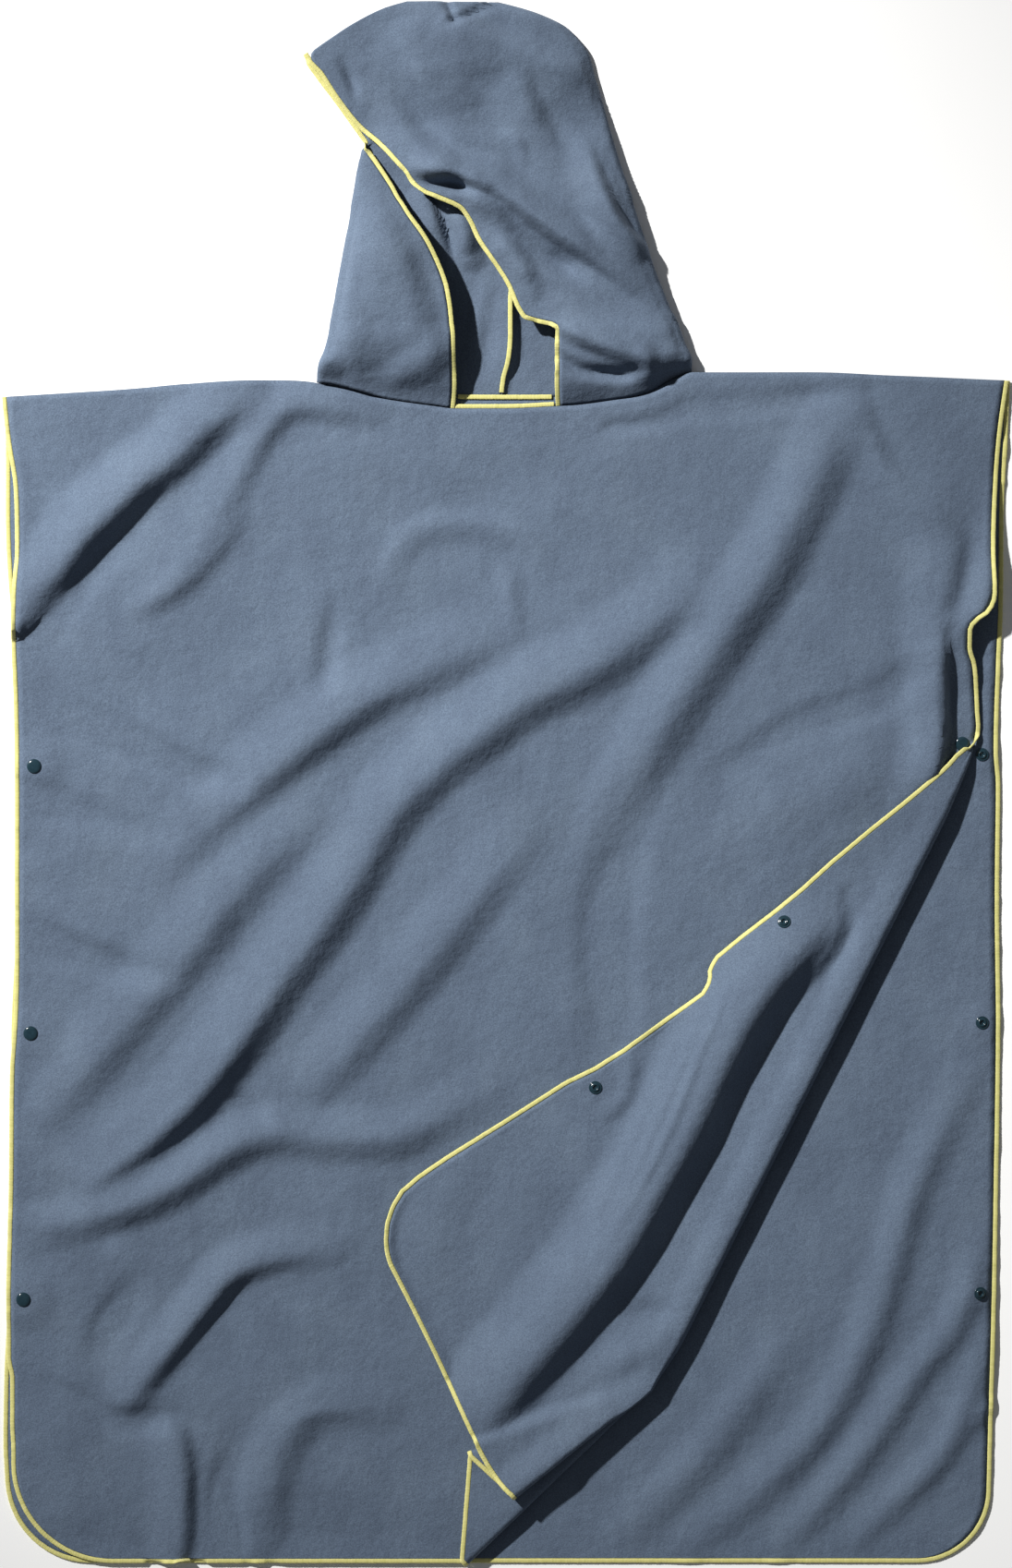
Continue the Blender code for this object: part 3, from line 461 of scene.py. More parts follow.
def panel_heights(step):
    """Heights of a panel's rows, with one at each end of the fold line."""
    radius = CORNER_RADIUS - INSET
    corner = HEM_Y + INSET + radius * (1 - np.cos(np.linspace(0, math.pi / 2, int(radius * 1.5 / step))))
    upper = np.linspace(corner[-1], SHOULDER_Y, int((SHOULDER_Y - corner[-1]) / step) + 1)
    for mark in (VERTEX[1], FOLD_TOP[1]):
        upper[np.argmin(np.abs(upper - mark))] = mark
    return np.unique(np.concatenate((corner, upper)))


def front_height(x, y):
    left = edge_of(FRONT_LEFT, y)
    inside = np.minimum(np.minimum(x - left, RIGHT_X - x), y - HEM_Y)
    z = FRONT_Z + 3.2 * smooth(inside / 70.0)
    z += FRONT_GAIN * folds(FRONT_FOLDS, x, y)
    z += puckers(np.maximum(0.0, x - left), y, 3.3)
    z += waves(x, y, ((180.0, 3.4), (80.0, 2.2), (40.0, 0.8), (20.0, 0.3)), 1)
    z += rise_at(x, y, LEFT_SNAPS, 3.4)
    hidden = smooth((x - free_edge_x(y)) / 16.0) * (y < FOLD_TOP[1])
    return np.maximum(mix(z, FRONT_Z, hidden), FRONT_Z)


FOLD_RUN = unit(FOLD_TOP - VERTEX)
FOLD_OUT = np.array((FOLD_RUN[1], -FOLD_RUN[0]))


def free_edge_x(y):
    """x of the turned-back corner's free edge, so the lower layer can lie flat beyond it."""
    path = np.array(FLAP_EDGE + FLAP_CORNER[1:] + HEM_TURNED)[::-1]
    return np.interp(y, path[:, 1], path[:, 0])


def pleat_share(y):
    return (VERTEX[1] - y) / (VERTEX[1] - (HEM_Y + INSET))


def crease_point(y):
    if y < VERTEX[1]:
        share = pleat_share(y)
        run = unit(CREASE_HEM["a"] - VERTEX)
        out = np.array((-run[1], run[0]))
        radius = mix(0.0, CREASE_RADIUS["a"], share)
        return mix(VERTEX, CREASE_HEM["a"], share) - out * radius
    return mix(VERTEX, FOLD_TOP, (y - VERTEX[1]) / (FOLD_TOP[1] - VERTEX[1]))


def free_edge(y):
    """Where a row of the turned-back corner ends, INSET inside its outer edge."""
    corner_start = HEM_Y + CORNER_RADIUS
    if y > corner_start:
        share = (FOLD_TOP[1] - y) / (FOLD_TOP[1] - corner_start)
        path, step = FLAP_EDGE, 0.012
    else:
        share = math.asin(min(1.0, (corner_start - y) / (CORNER_RADIUS - INSET))) / (math.pi / 2)
        path, step = FLAP_CORNER, 0.12
    run = unit(along(path, min(1.0, share + step)) - along(path, max(0.0, share - step)))
    inset = INSET * smooth((FOLD_TOP[1] - y) / 30.0)
    return along(path, share) + inset * np.array((-run[1], run[0]))


def roll_radius(y):
    return ROLL_RADIUS * math.sqrt(min(1.0, max(0.0, (FOLD_TOP[1] - y) / 60.0)))


def roll_section(start, y, low):
    radius = roll_radius(y)
    reach = radius * (0.3 + 0.7 * float(smooth((y - VERTEX[1]) / 46.0)))
    angles = np.linspace(0, math.pi, ROLL_POINTS)
    places = start[None] + FOLD_OUT[None] * (reach * np.sin(angles))[:, None]
    return np.column_stack((places, low + radius * (1 - np.cos(angles))))


def turn_points(place, out, radius, low, count):
    angles = np.linspace(0, math.pi, count)
    places = place[None] + out[None] * (radius * (np.sin(angles) - 1))[:, None]
    return np.column_stack((places, low + radius * (1 - np.cos(angles))))


def pleat_section(y, low):
    """Through the pleat's three turns, from the lower layer to the turned-back corner."""
    share = pleat_share(y)
    size = pleat_size(share)
    points = {name: mix(VERTEX, hem, share) for name, hem in CREASE_HEM.items()}
    out = {}
    for name, hem in CREASE_HEM.items():
        run = unit(hem - VERTEX)
        out[name] = np.array((-run[1], run[0])) * (-1 if name == "c" else 1)
    radius = {name: value * size for name, value in CREASE_RADIUS.items()}
    first = turn_points(points["a"], out["a"], radius["a"], low, 8)
    level = low + 2 * radius["a"] - 2.4 * share
    second = turn_points(points["c"], out["c"], radius["c"], level, 7)
    level += 2 * radius["c"] + 0.4 * share
    third = turn_points(points["b"], out["b"], radius["b"], level, 9)
    low_run = [mix(first[-1], second[0], t) for t in (0.25, 0.5, 0.75)]
    high_run = [mix(second[-1], third[0], t) for t in (0.25, 0.5, 0.75)]
    return np.vstack((first, low_run, second, high_run, third))


def behind_fold(x, y):
    """Distance behind the straight line of the fold, towards the flap's free edge."""
    return np.maximum(0.0, (VERTEX[0] - x) * FOLD_OUT[0] + (VERTEX[1] - y) * FOLD_OUT[1])


def pleat_size(share):
    """The pleat's turns open out from the vertex, where they start, to the hem."""
    return 0.6 + 0.4 * share


def pleat_cover(x, y):
    """Height that keeps the turned-back corner over the pleat's two hidden layers."""
    run = unit(CREASE_HEM["c"] - VERTEX)
    share = ((x - VERTEX[0]) * run[0] + (y - VERTEX[1]) * run[1]) / np.linalg.norm(CREASE_HEM["c"] - VERTEX)
    beyond = (x - VERTEX[0]) * run[1] - (y - VERTEX[1]) * run[0]
    stack = 2 * CREASE_RADIUS["a"] + 2 * CREASE_RADIUS["c"] + 1.2
    present = smooth(share / 0.25) * pleat_size(np.clip(share, 0, 1.05))
    return FRONT_Z + stack * present * smooth((COVER_REACH - beyond) / (COVER_REACH - 4.0))


def flap_height(x, y_place, row_y, under):
    """Height of the turned-back corner: a ramp down from the roll, a floor, and the ridge behind it."""
    from_fold = behind_fold(x, y_place)
    share = roll_radius(row_y) / ROLL_RADIUS
    run = (x - VERTEX[0]) * FOLD_RUN[0] + (y_place - VERTEX[1]) * FOLD_RUN[1]
    ramp = steady((-80.0, 0.0, 110.0, 300.0, 440.0, 620.0), (96.0, 74.0, 56.0, 48.0, 40.0, 34.0), run)
    u = np.clip(from_fold / ramp, 0, 1)
    fall = mix(mix(1 - u, (1 - u) ** 2, 0.35), 1.0, smooth((run - 400.0) / 110.0))
    body = FLAP_FLOOR + share * (FLAP_TOP - FLAP_FLOOR) * fall
    z = FRONT_Z + body + share * folds(FLAP_FOLDS, x, y_place)
    z += waves(x, y_place, ((120.0, 1.6), (48.0, 0.9), (22.0, 0.35)), 4) * smooth(from_fold / 20.0)
    return np.maximum(np.maximum(z, under + 2.0), pleat_cover(x, y_place))


def front_rows():
    """The lower layer, and the roll with the turned-back corner, as two joined sets of rows."""
    heights = panel_heights(GRID)
    columns = int(PANEL_WIDTH / GRID)
    share = np.linspace(0, 1, columns)
    left = side_x(FRONT_LEFT, heights, 1, FRONT_LEFT_RADIUS)
    right = side_x(FRONT_RIGHT, np.maximum(heights, FOLD_TOP[1]), -1)
    folded = heights <= FOLD_TOP[1] + 1e-6
    starts = [crease_point(y) for y in heights[folded]]
    right[folded] = [p[0] for p in starts]
    x = left[:, None] + (right - left)[:, None] * share[None]
    y = np.repeat(heights[:, None], columns, axis=1)
    z = front_height(x, y)
    lower = np.dstack((x, top_bend(FRONT_TOP, x, y), z))

    flap_columns = int(330 / FLAP_GRID)
    upper = []
    for number, row_y in enumerate(heights[folded]):
        start, low = starts[number], lower[number, -1, 2]
        section = roll_section(start, row_y, low)
        if row_y < VERTEX[1]:
            weight = smooth(pleat_share(row_y) / 0.3)
            section = mix(section, pleat_section(row_y, low), weight)
        section[0] = (start[0], row_y, low)
        end = free_edge(row_y)
        t = (np.arange(1, flap_columns + 1) / flap_columns)[:, None]
        places = mix(section[-1][None, :2], end[None], t)
        if row_y < VERTEX[1]:
            gone = np.linalg.norm(places - section[-1][:2], axis=1) / HEM_BOW_AT
            run = unit(end - section[-1][:2])
            bow = HEM_BOW * pleat_share(row_y) * gone * np.exp(1 - gone)
            places = places + bow[:, None] * np.array((-run[1], run[0]))[None]
        upper.append((section, places, row_y))
    all_places = np.array([p for _, p, _ in upper])
    under = front_height(all_places[..., 0], all_places[..., 1])
    rows = []
    for number, (section, places, row_y) in enumerate(upper):
        z = flap_height(places[:, 0], places[:, 1], row_y, under[number])
        step = np.linalg.norm(places - section[-1][:2], axis=1)
        z = mix(section[-1][2], z, smooth(step / 26.0))
        rows.append(np.vstack((section, np.column_stack((places, z)))))
    return lower, np.array(rows)


def back_rows():
    heights = panel_heights(BACK_GRID)
    columns = int(PANEL_WIDTH / BACK_GRID)
    left = side_x(BACK_LEFT, heights, 1, BACK_LEFT_RADIUS)
    right = side_x(BACK_RIGHT, heights, -1)
    x = left[:, None] + (right - left)[:, None] * np.linspace(0, 1, columns)[None]
    y = np.repeat(heights[:, None], columns, axis=1)
    z = BACK_Z + BACK_GAIN * np.maximum(0, folds(BACK_FOLDS, x, y))
    shown = smooth(((x - VERTEX[0]) * FOLD_OUT[0] + (y - VERTEX[1]) * FOLD_OUT[1]) / 40.0)
    edge = smooth(np.minimum(RIGHT_X - x, y - HEM_Y) / 40.0)
    z += np.maximum(0, 1.0 + waves(x, y, ((120.0, 1.6), (50.0, 0.8), (24.0, 0.3)), 7)) * shown * edge
    z += rise_at(x, y, RIGHT_SNAPS + LEFT_SNAPS, 1.7, 7.0, 22.0)
    z += np.maximum(0.0, puckers(np.maximum(0.0, RIGHT_X - x), y, 6.1))
    return np.dstack((x, top_bend(BACK_TOP, x, y), z))


# ------------------------------------------------------------------ hood
def hood_table(y):
    keys = [row[0] for row in HOOD_ROWS]
    return {name: float(steady(keys, [row[i] for row in HOOD_ROWS], y))
            for i, name in enumerate(HOOD_COLUMNS)}


def rolled_section(seam, outline, face, side, radius, bottom, upper):
    """Ground layer from the seam, a roll at the outline, and the upper layer back to the face edge."""
    centre = outline - side * radius
    seam = min(seam * side, centre * side) * side
    angles = np.linspace(-math.pi / 2, math.pi / 2, 22)
    turn = np.column_stack((centre + side * radius * np.cos(angles), bottom + radius * (1 + np.sin(angles))))
    top = bottom + 2 * radius
    s = np.linspace(0, 1, 30)[1:]
    reach = min(1.0, 28.0 / max(1.0, abs(centre - face)))
    climb = np.sqrt(1 - (1 - np.clip(s / max(reach, 0.2), 0, 1)) ** 2)
    up = np.column_stack((centre + (face - centre) * s, top + (upper - top) * climb))
    low = np.column_stack((np.linspace(seam, centre, 20)[:-1], np.full(19, bottom)))
    return np.vstack((low, turn, up))


def hood_section(row, side, count):
    """x and z along a half's section from its seam to its face edge.

    Below the tip a half is rolled over at its outline. In the tip the right half lies over the left.
    """
    t = np.linspace(0, 1, count)
    seam = row["seam"]
    if side < 0:
        outline, face, rise = row["left"], row["left_face"], row["left_rise"]
        rolled = float(smooth((face - outline) / 6.0))
        face += mix(INSET, -INSET, rolled)
        bottom, upper = BACK_Z, FRONT_Z + rise
    else:
        outline, face, rise = row["right"], row["right_face"], row["right_rise"]
        rolled = float(smooth((outline - seam) / 14.0))
        face += INSET * float(smooth((HOOD_TIP_Y + 6.0 - row["y"]) / 6.0))
        bottom, upper = mix(2.1, BACK_Z, rolled), FRONT_Z + rise
    radius = mix(TIP_RADIUS, HOOD_ROLL, float(smooth(rise / 9.0)) * rolled)
    radius = max(TIP_RADIUS, min(radius, 0.42 * abs(outline - face), (upper - bottom) / 2))
    section = rolled_section(seam, outline, face, side, radius, bottom, upper)
    found = along(section, t)
    if side < 0 and rolled < 1.0:
        flat = np.column_stack((mix(seam, face, t), np.full(count, BACK_Z)))
        found = mix(flat, found, rolled)
    return found[:, 0], found[:, 1]


def hood_rows(side, back_top, front_top):
    heights = np.unique(np.concatenate((np.arange(HOOD_ROWS[0][0], HOOD_ROWS[-1][0], HOOD_GRID),
                                        (HOOD_TIP_Y, HOOD_ROWS[-1][0]))))
    count = int(300 / HOOD_GRID)
    rows = []
    for y in heights:
        row = hood_table(y)
        x, z = hood_section(row, side, count)
        share = smooth((HOOD_ROWS[0][0] + 60.0 - y) / 60.0)
        back_y = np.interp(x, back_top[:, 0], back_top[:, 1])
        front_y = np.interp(x, front_top[:, 0], front_top[:, 1])
        layer = smooth((z - BACK_Z) / (FRONT_Z - BACK_Z))
        outer = smooth((np.abs(x) - 96.0) / 44.0)
        neck = mix(mix(back_y, front_y, layer), np.maximum(back_y, front_y), outer)
        rows.append(np.column_stack((x, y + share * (neck + 0.4 - HOOD_ROWS[0][0]), z)))
    rows = np.array(rows)
    x, y, z = rows[..., 0], rows[..., 1], rows[..., 2]
    upper = smooth((z - 3.2) / 5.0) * smooth((y - 322.0) / 26.0)
    table = HOOD_FOLDS_LEFT if side < 0 else HOOD_FOLDS_RIGHT
    relief = folds(table, x, y) + waves(x, y, ((90.0, 2.6), (38.0, 1.3), (18.0, 0.4)), 9 + side)
    floor = smooth((3.0 - z) / 1.5) * smooth((y - 328.0) / 12.0)
    rows[..., 2] = z + upper * HOOD_GAIN * relief + floor * np.maximum(0.0, folds(HOOD_FLOOR_FOLDS, x, y))
    return rows, heights


# ------------------------------------------------------------------ meshes
def new_object(name, points, faces):
    mesh = bpy.data.meshes.new(name)
    mesh.from_pydata((np.asarray(points) * MM).tolist(), [], faces)
    mesh.validate()
    mesh.shade_smooth()
    piece = bpy.data.objects.new(name, mesh)
    bpy.context.scene.collection.objects.link(piece)
    return piece


def grid_faces(rows, columns, start=0):
    index = np.arange(rows * columns).reshape(rows, columns) + start
    quads = np.stack((index[:-1, :-1], index[:-1, 1:], index[1:, 1:], index[1:, :-1]), axis=-1)
    return quads.reshape(-1, 4).tolist()


def weld(points, faces, reach=0.02):
    """Join points of two patches that meet, and drop faces that close up."""
    keys = np.round(np.asarray(points) / reach).astype(np.int64)
    _, first, inverse = np.unique(keys, axis=0, return_index=True, return_inverse=True)
    inverse = inverse.ravel()
    kept = []
    for face in faces:
        ring = []
        for corner in face:
            index = int(inverse[corner])
            if not ring or ring[-1] != index:
                ring.append(index)
        if len(ring) > 1 and ring[0] == ring[-1]:
            ring.pop()
        if len(set(ring)) > 2:
            kept.append(ring)
    return np.asarray(points)[first], kept


def cloth_piece(name, patches, node, material):
    """One sheet of cloth with its wall, from patches of rows that meet."""
    points, faces = [], []
    for rows in patches:
        faces += grid_faces(rows.shape[0], rows.shape[1], sum(len(p) for p in points))
        points.append(rows.reshape(-1, 3))
    points, faces = weld(np.vstack(points), faces)
    piece = new_object(name, points, faces)
    wall = piece.modifiers.new("wall", "SOLIDIFY")
    wall.thickness = WALL * MM
    wall.offset = 0.0
    piece.data.materials.append(material)
    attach(piece, "root")
    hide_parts(node)
    return piece


# ------------------------------------------------------------------ edging
def edge_path(points, inner):
    """Evenly spaced frames down an edge: place, outward and upward directions."""
    points, inner = np.asarray(points, float), np.asarray(inner, float)
    keep = np.concatenate(([True], np.linalg.norm(np.diff(points, axis=0), axis=1) > 0.05))
    points, inner = points[keep], inner[keep]
    travelled = lengths(points)
    count = max(8, int(travelled[-1] / EDGING_STEP))
    at = np.linspace(0, travelled[-1], count)
    place = np.stack([np.interp(at, travelled, points[:, k]) for k in range(3)], axis=1)
    inside = np.stack([np.interp(at, travelled, inner[:, k]) for k in range(3)], axis=1)
    reach = 3
    padded = np.vstack([place[:1]] * reach + [place] + [place[-1:]] * reach)
    run = padded[2 * reach:] - padded[:-2 * reach]
    run /= np.linalg.norm(run, axis=1)[:, None]
    out = place - inside
    out -= run * (out * run).sum(1)[:, None]
    out /= np.maximum(1e-6, np.linalg.norm(out, axis=1))[:, None]
    up = np.cross(out, run)
    return place, out, up, at


def edging_piece(name, edge, nodes, material, low=-0.9, high=0.9):
    """Overlocked edging: a rounded strip whose threads ride up and down along it."""
    place, out, up, at = edge_path(*edge)
    stitch = np.sin(at * math.tau / STITCH_PITCH)
    uneven = np.array([noise.noise(Vector((a / 3.1, 0.3, 7.7))) for a in at])
    half = EDGING_WIDTH / 2
    rings = []
    for k in range(EDGING_SIDES):
        angle = math.tau * k / EDGING_SIDES
        across = half * math.copysign(abs(math.cos(angle)) ** 0.6, math.cos(angle))
        height = (high - low) / 2 * math.copysign(abs(math.sin(angle)) ** 0.7, math.sin(angle))
        swell = 1 + 0.07 * stitch + 0.10 * uneven
        wander = 0.16 * uneven
        offset = out * (half + 0.1 + across * (1 + 0.04 * stitch) + wander)[:, None]
        lift = up * ((high + low) / 2 + height * swell)[:, None]
        rings.append(place + offset + lift)
    points = np.stack(rings, axis=1).reshape(-1, 3)
    last = (len(at) - 1) * EDGING_SIDES
    faces = []
    for first in range(0, last, EDGING_SIDES):
        for k in range(EDGING_SIDES):
            a, b = first + k, first + (k + 1) % EDGING_SIDES
            faces.append((a, b, b + EDGING_SIDES, a + EDGING_SIDES))
    faces.append(tuple(reversed(range(EDGING_SIDES))))
    faces.append(tuple(range(last, last + EDGING_SIDES)))
    piece = new_object(name, points, faces)
    sides = np.arange(EDGING_SIDES) / EDGING_SIDES
    flat = np.stack(np.meshgrid(at, sides, indexing="ij"), axis=-1).reshape(-1, 2)
    layer = piece.data.uv_layers.new(name="thread")
    corners = np.zeros(len(piece.data.loops), np.int32)
    piece.data.loops.foreach_get("vertex_index", corners)
    layer.data.foreach_set("uv", flat[corners].ravel().astype(np.float32))
    piece.data.materials.append(material)
    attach(piece, "root")
    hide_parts(*nodes)
    return piece


def panel_edge(rows, reach=3):
    """Left side down, hem across, right side up, with the points inside it."""
    left, left_in = rows[::-1, 0], rows[::-1, reach]
    hem, hem_in = rows[0, 1:-1], rows[reach, 1:-1]
    right, right_in = rows[:, -1], rows[:, -1 - reach]
    return np.vstack((left, hem, right)), np.vstack((left_in, hem_in, right_in))


def level_inner(points, inner):
    inner = inner.copy()
    inner[:, 2] = points[:, 2]
    return inner


def front_edge(lower, upper, reach=3):
    left, left_in = lower[::-1, 0], lower[::-1, reach]
    hem, hem_in = lower[0, 1:], lower[reach, 1:]
    turned, turned_in = upper[0, 1:-1], upper[reach, 1:-1]
    flap, flap_in = upper[:-2, -1], upper[:-2, -1 - reach]
    top = len(upper)
    right, right_in = lower[top + 1:, -1], lower[top + 1:, -1 - reach]
    corner = lower[top - 1, -1]
    lift = np.array((1.0, 2.0, roll_radius(FOLD_TOP[1] - 2.0)))
    turn, turn_in = (corner + lift)[None], (corner + lift - (0.0, 0.0, 12.0))[None]
    points = np.vstack((left, hem, turned, flap, turn, right))
    inner = np.vstack((left_in, hem_in, turned_in, flap_in, turn_in, right_in))
    return points, inner


# ------------------------------------------------------------------ materials
def start_material(name):
    material = bpy.data.materials.new(name)
    material.use_nodes = True
    tree = material.node_tree
    return material, tree, tree.nodes["Principled BSDF"]


def add(tree, kind, inputs=None, **settings):
    node = tree.nodes.new(kind)
    for key, value in settings.items():
        setattr(node, key, value)
    for key, value in (inputs or {}).items():
        node.inputs[key].default_value = value
    return node


def noise_node(tree, vector, scale, detail=3.0, roughness=0.55, stretch=None):
    if stretch:
        mapping = add(tree, "ShaderNodeMapping", {"Scale": stretch})
        tree.links.new(vector, mapping.inputs["Vector"])
        vector = mapping.outputs["Vector"]
    node = add(tree, "ShaderNodeTexNoise", {"Scale": scale, "Detail": detail, "Roughness": roughness})
    tree.links.new(vector, node.inputs["Vector"])
    return node.outputs["Fac"]


def grey(level):
    return (level, level, level, 1)


def ramp(tree, source, stops):
    node = add(tree, "ShaderNodeValToRGB")
    elements = node.color_ramp.elements
    while len(elements) > 1:
        elements.remove(elements[-1])
    elements[0].position, elements[0].color = stops[0]
    for position, color in stops[1:]:
        elements.new(position).color = color
    tree.links.new(source, node.inputs["Fac"])
    return node.outputs["Color"]


def blend(tree, kind, factor, a, b):
    node = add(tree, "ShaderNodeMix", data_type="RGBA", blend_type=kind)
    node.inputs["Factor"].default_value = factor
    tree.links.new(a, node.inputs["A"])
    if hasattr(b, "is_output"):
        tree.links.new(b, node.inputs["B"])
    else:
        node.inputs["B"].default_value = b
    return node.outputs["Result"]


def bump(tree, height, strength, distance, normal=None):
    node = add(tree, "ShaderNodeBump", {"Strength": strength, "Distance": distance})
    tree.links.new(height, node.inputs["Height"])
    if normal:
        tree.links.new(normal, node.inputs["Normal"])
    return node.outputs["Normal"]


def cloth_material():
    """Short-napped microfibre: brushed patches and streaks, fine grain and a trace of sheen."""
    material, tree, shader = start_material("microfibre")
    where = add(tree, "ShaderNodeTexCoord").outputs["Object"]
    patches = noise_node(tree, where, 14.0, 4.0, 0.6)
    streaks = noise_node(tree, where, 60.0, 3.0, 0.6, stretch=(1.0, 0.35, 1.0))
    grain = noise_node(tree, where, 900.0, 2.0, 0.7)
    fibres = noise_node(tree, where, 2600.0, 1.0, 0.5)
    base = ramp(tree, patches, ((0.30, (0.091, 0.122, 0.174, 1)), (0.5, (0.100, 0.134, 0.190, 1)),
                                (0.70, (0.110, 0.146, 0.203, 1))))
    worn = ramp(tree, streaks, ((0.3, (0.93, 0.93, 0.94, 1)), (0.7, (1.05, 1.05, 1.04, 1))))
    speck = ramp(tree, grain, ((0.34, (0.78, 0.78, 0.80, 1)), (0.66, (1.22, 1.22, 1.20, 1))))
    colour = blend(tree, "MULTIPLY", 1.0, base, worn)
    colour = blend(tree, "MULTIPLY", 1.0, colour, speck)
    tree.links.new(colour, shader.inputs["Base Color"])
    rough = ramp(tree, streaks, ((0.3, grey(0.84)), (0.7, grey(0.96))))
    tree.links.new(rough, shader.inputs["Roughness"])
    lumps = noise_node(tree, where, 95.0, 3.0, 0.55)
    normal = bump(tree, lumps, 0.5, 0.0022)
    normal = bump(tree, grain, 0.35, 0.0006, normal)
    normal = bump(tree, fibres, 0.25, 0.0003, normal)
    tree.links.new(normal, shader.inputs["Normal"])
    shader.inputs["Specular IOR Level"].default_value = 0.18
    shader.inputs["Sheen Weight"].default_value = 0.04
    shader.inputs["Sheen Roughness"].default_value = 0.55
    shader.inputs["Sheen Tint"].default_value = (0.80, 0.88, 1.0, 1)
    return material


def edging_material():
    """Dense yellow overlock thread, crossing the edge in close stitches, with painted shade in the grooves
    between threads and painted light on their crests.
    """
    material, tree, shader = start_material("overlock thread")
    coordinates = add(tree, "ShaderNodeUVMap", uv_map="thread").outputs["UV"]
    split = add(tree, "ShaderNodeSeparateXYZ")
    tree.links.new(coordinates, split.inputs["Vector"])
    lean = add(tree, "ShaderNodeMath", operation="MULTIPLY_ADD")
    lean.inputs[1].default_value = 1.1
    tree.links.new(split.outputs["Y"], lean.inputs[0])
    tree.links.new(split.outputs["X"], lean.inputs[2])
    phase = add(tree, "ShaderNodeMath", operation="MULTIPLY")
    phase.inputs[1].default_value = math.tau / THREAD_PITCH
    tree.links.new(lean.outputs[0], phase.inputs[0])
    thread = add(tree, "ShaderNodeMath", operation="SINE")
    tree.links.new(phase.outputs[0], thread.inputs[0])
    level = add(tree, "ShaderNodeMapRange", {"From Min": -1.0, "From Max": 1.0})
    tree.links.new(thread.outputs[0], level.inputs["Value"])
    patch = noise_node(tree, coordinates, 0.22, 3.0, 0.6)
    # Painted shade and light: the thread colour is dark olive in the grooves between threads and paler on
    # their crests, following the same relief as the bump.
    base = ramp(tree, level.outputs["Result"], ((0.0, (0.46, 0.40, 0.110, 1)), (0.35, (0.74, 0.70, 0.260, 1)),
                                                (1.0, (0.90, 0.86, 0.380, 1))))
    tint = ramp(tree, patch, ((0.3, (0.86, 0.88, 0.74, 1)), (0.6, grey(1.0)), (0.8, (1.05, 1.04, 1.1, 1))))
    tree.links.new(blend(tree, "MULTIPLY", 1.0, base, tint), shader.inputs["Base Color"])
    tree.links.new(bump(tree, level.outputs["Result"], 0.6, 0.0003), shader.inputs["Normal"])
    shader.inputs["Roughness"].default_value = 0.62
    shader.inputs["Specular IOR Level"].default_value = 0.3
    shader.inputs["Sheen Weight"].default_value = 0.15
    return material


def plastic_material():
    """Dark glossy plastic with a slight haze."""
    material, tree, shader = start_material("moulded plastic")
    where = add(tree, "ShaderNodeTexCoord").outputs["Object"]
    haze = noise_node(tree, where, 420.0, 3.0, 0.6)
    colour = ramp(tree, haze, ((0.3, (0.009, 0.026, 0.037, 1)), (0.7, (0.014, 0.036, 0.050, 1))))
    tree.links.new(colour, shader.inputs["Base Color"])
    rough = ramp(tree, haze, ((0.3, grey(0.13)), (0.7, grey(0.20))))
    tree.links.new(rough, shader.inputs["Roughness"])
    tree.links.new(bump(tree, haze, 0.05, 0.0002), shader.inputs["Normal"])
    shader.inputs["Specular IOR Level"].default_value = 0.5
    return material


# ------------------------------------------------------------------ fasteners
# Profiles: (radius, height), from the middle of the outer face round to the middle of the seat
CAP_PROFILE = (
    (0.0, 1.55), (1.6, 1.55), (2.6, 1.62), (4.0, 1.55), (5.1, 1.30), (5.8, 0.90), (6.15, 0.45), (6.2, 0.1),
    (6.05, 0.0), (0.0, 0.0),
)
SOCKET_PROFILE = (
    (0.0, 0.35), (1.75, 0.35), (1.95, 0.55), (2.0, 1.35), (2.2, 1.6), (2.9, 1.65), (3.3, 1.5), (3.5, 1.1),
    (3.7, 0.75), (4.8, 0.7), (5.2, 0.8), (5.5, 0.6), (5.6, 0.25), (5.5, 0.0), (0.0, 0.0),
)
STUD_PROFILE = ((0.0, 0.7), (1.2, 0.75), (5.0, 0.7), (5.5, 0.45), (5.6, 0.1), (0.0, 0.0))


def turned_piece(name, profile, place, normal, node, material, flip=False):
    """A fastener part turned about its axis and seated square to the cloth."""
    count = 48
    radii, heights = zip(*profile)
    points, faces = [], []
    for radius, height in zip(radii[1:-1], heights[1:-1]):
        for k in range(count):
            angle = math.tau * k / count
            points.append((radius * math.cos(angle), radius * math.sin(angle), height))
    rings = len(radii) - 2
    for ring in range(rings - 1):
        for k in range(count):
            a, b = ring * count + k, ring * count + (k + 1) % count
            faces.append((a, a + count, b + count, b))
    top, bottom = len(points), len(points) + 1
    points += [(0, 0, heights[0]), (0, 0, heights[-1])]
    last = (rings - 1) * count
    for k in range(count):
        faces.append((top, k, (k + 1) % count))
        faces.append((bottom, last + (k + 1) % count, last + k))
    axis = Vector(normal) * (-1 if flip else 1)
    turn = np.array(axis.to_track_quat("Z", "Y").to_matrix())
    piece = new_object(name, np.array(points) @ turn.T + np.array(place), faces)
    piece.data.set_sharp_from_angle(angle=math.radians(62))
    piece.data.materials.append(material)
    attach(piece, "root")
    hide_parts(node)
    return piece


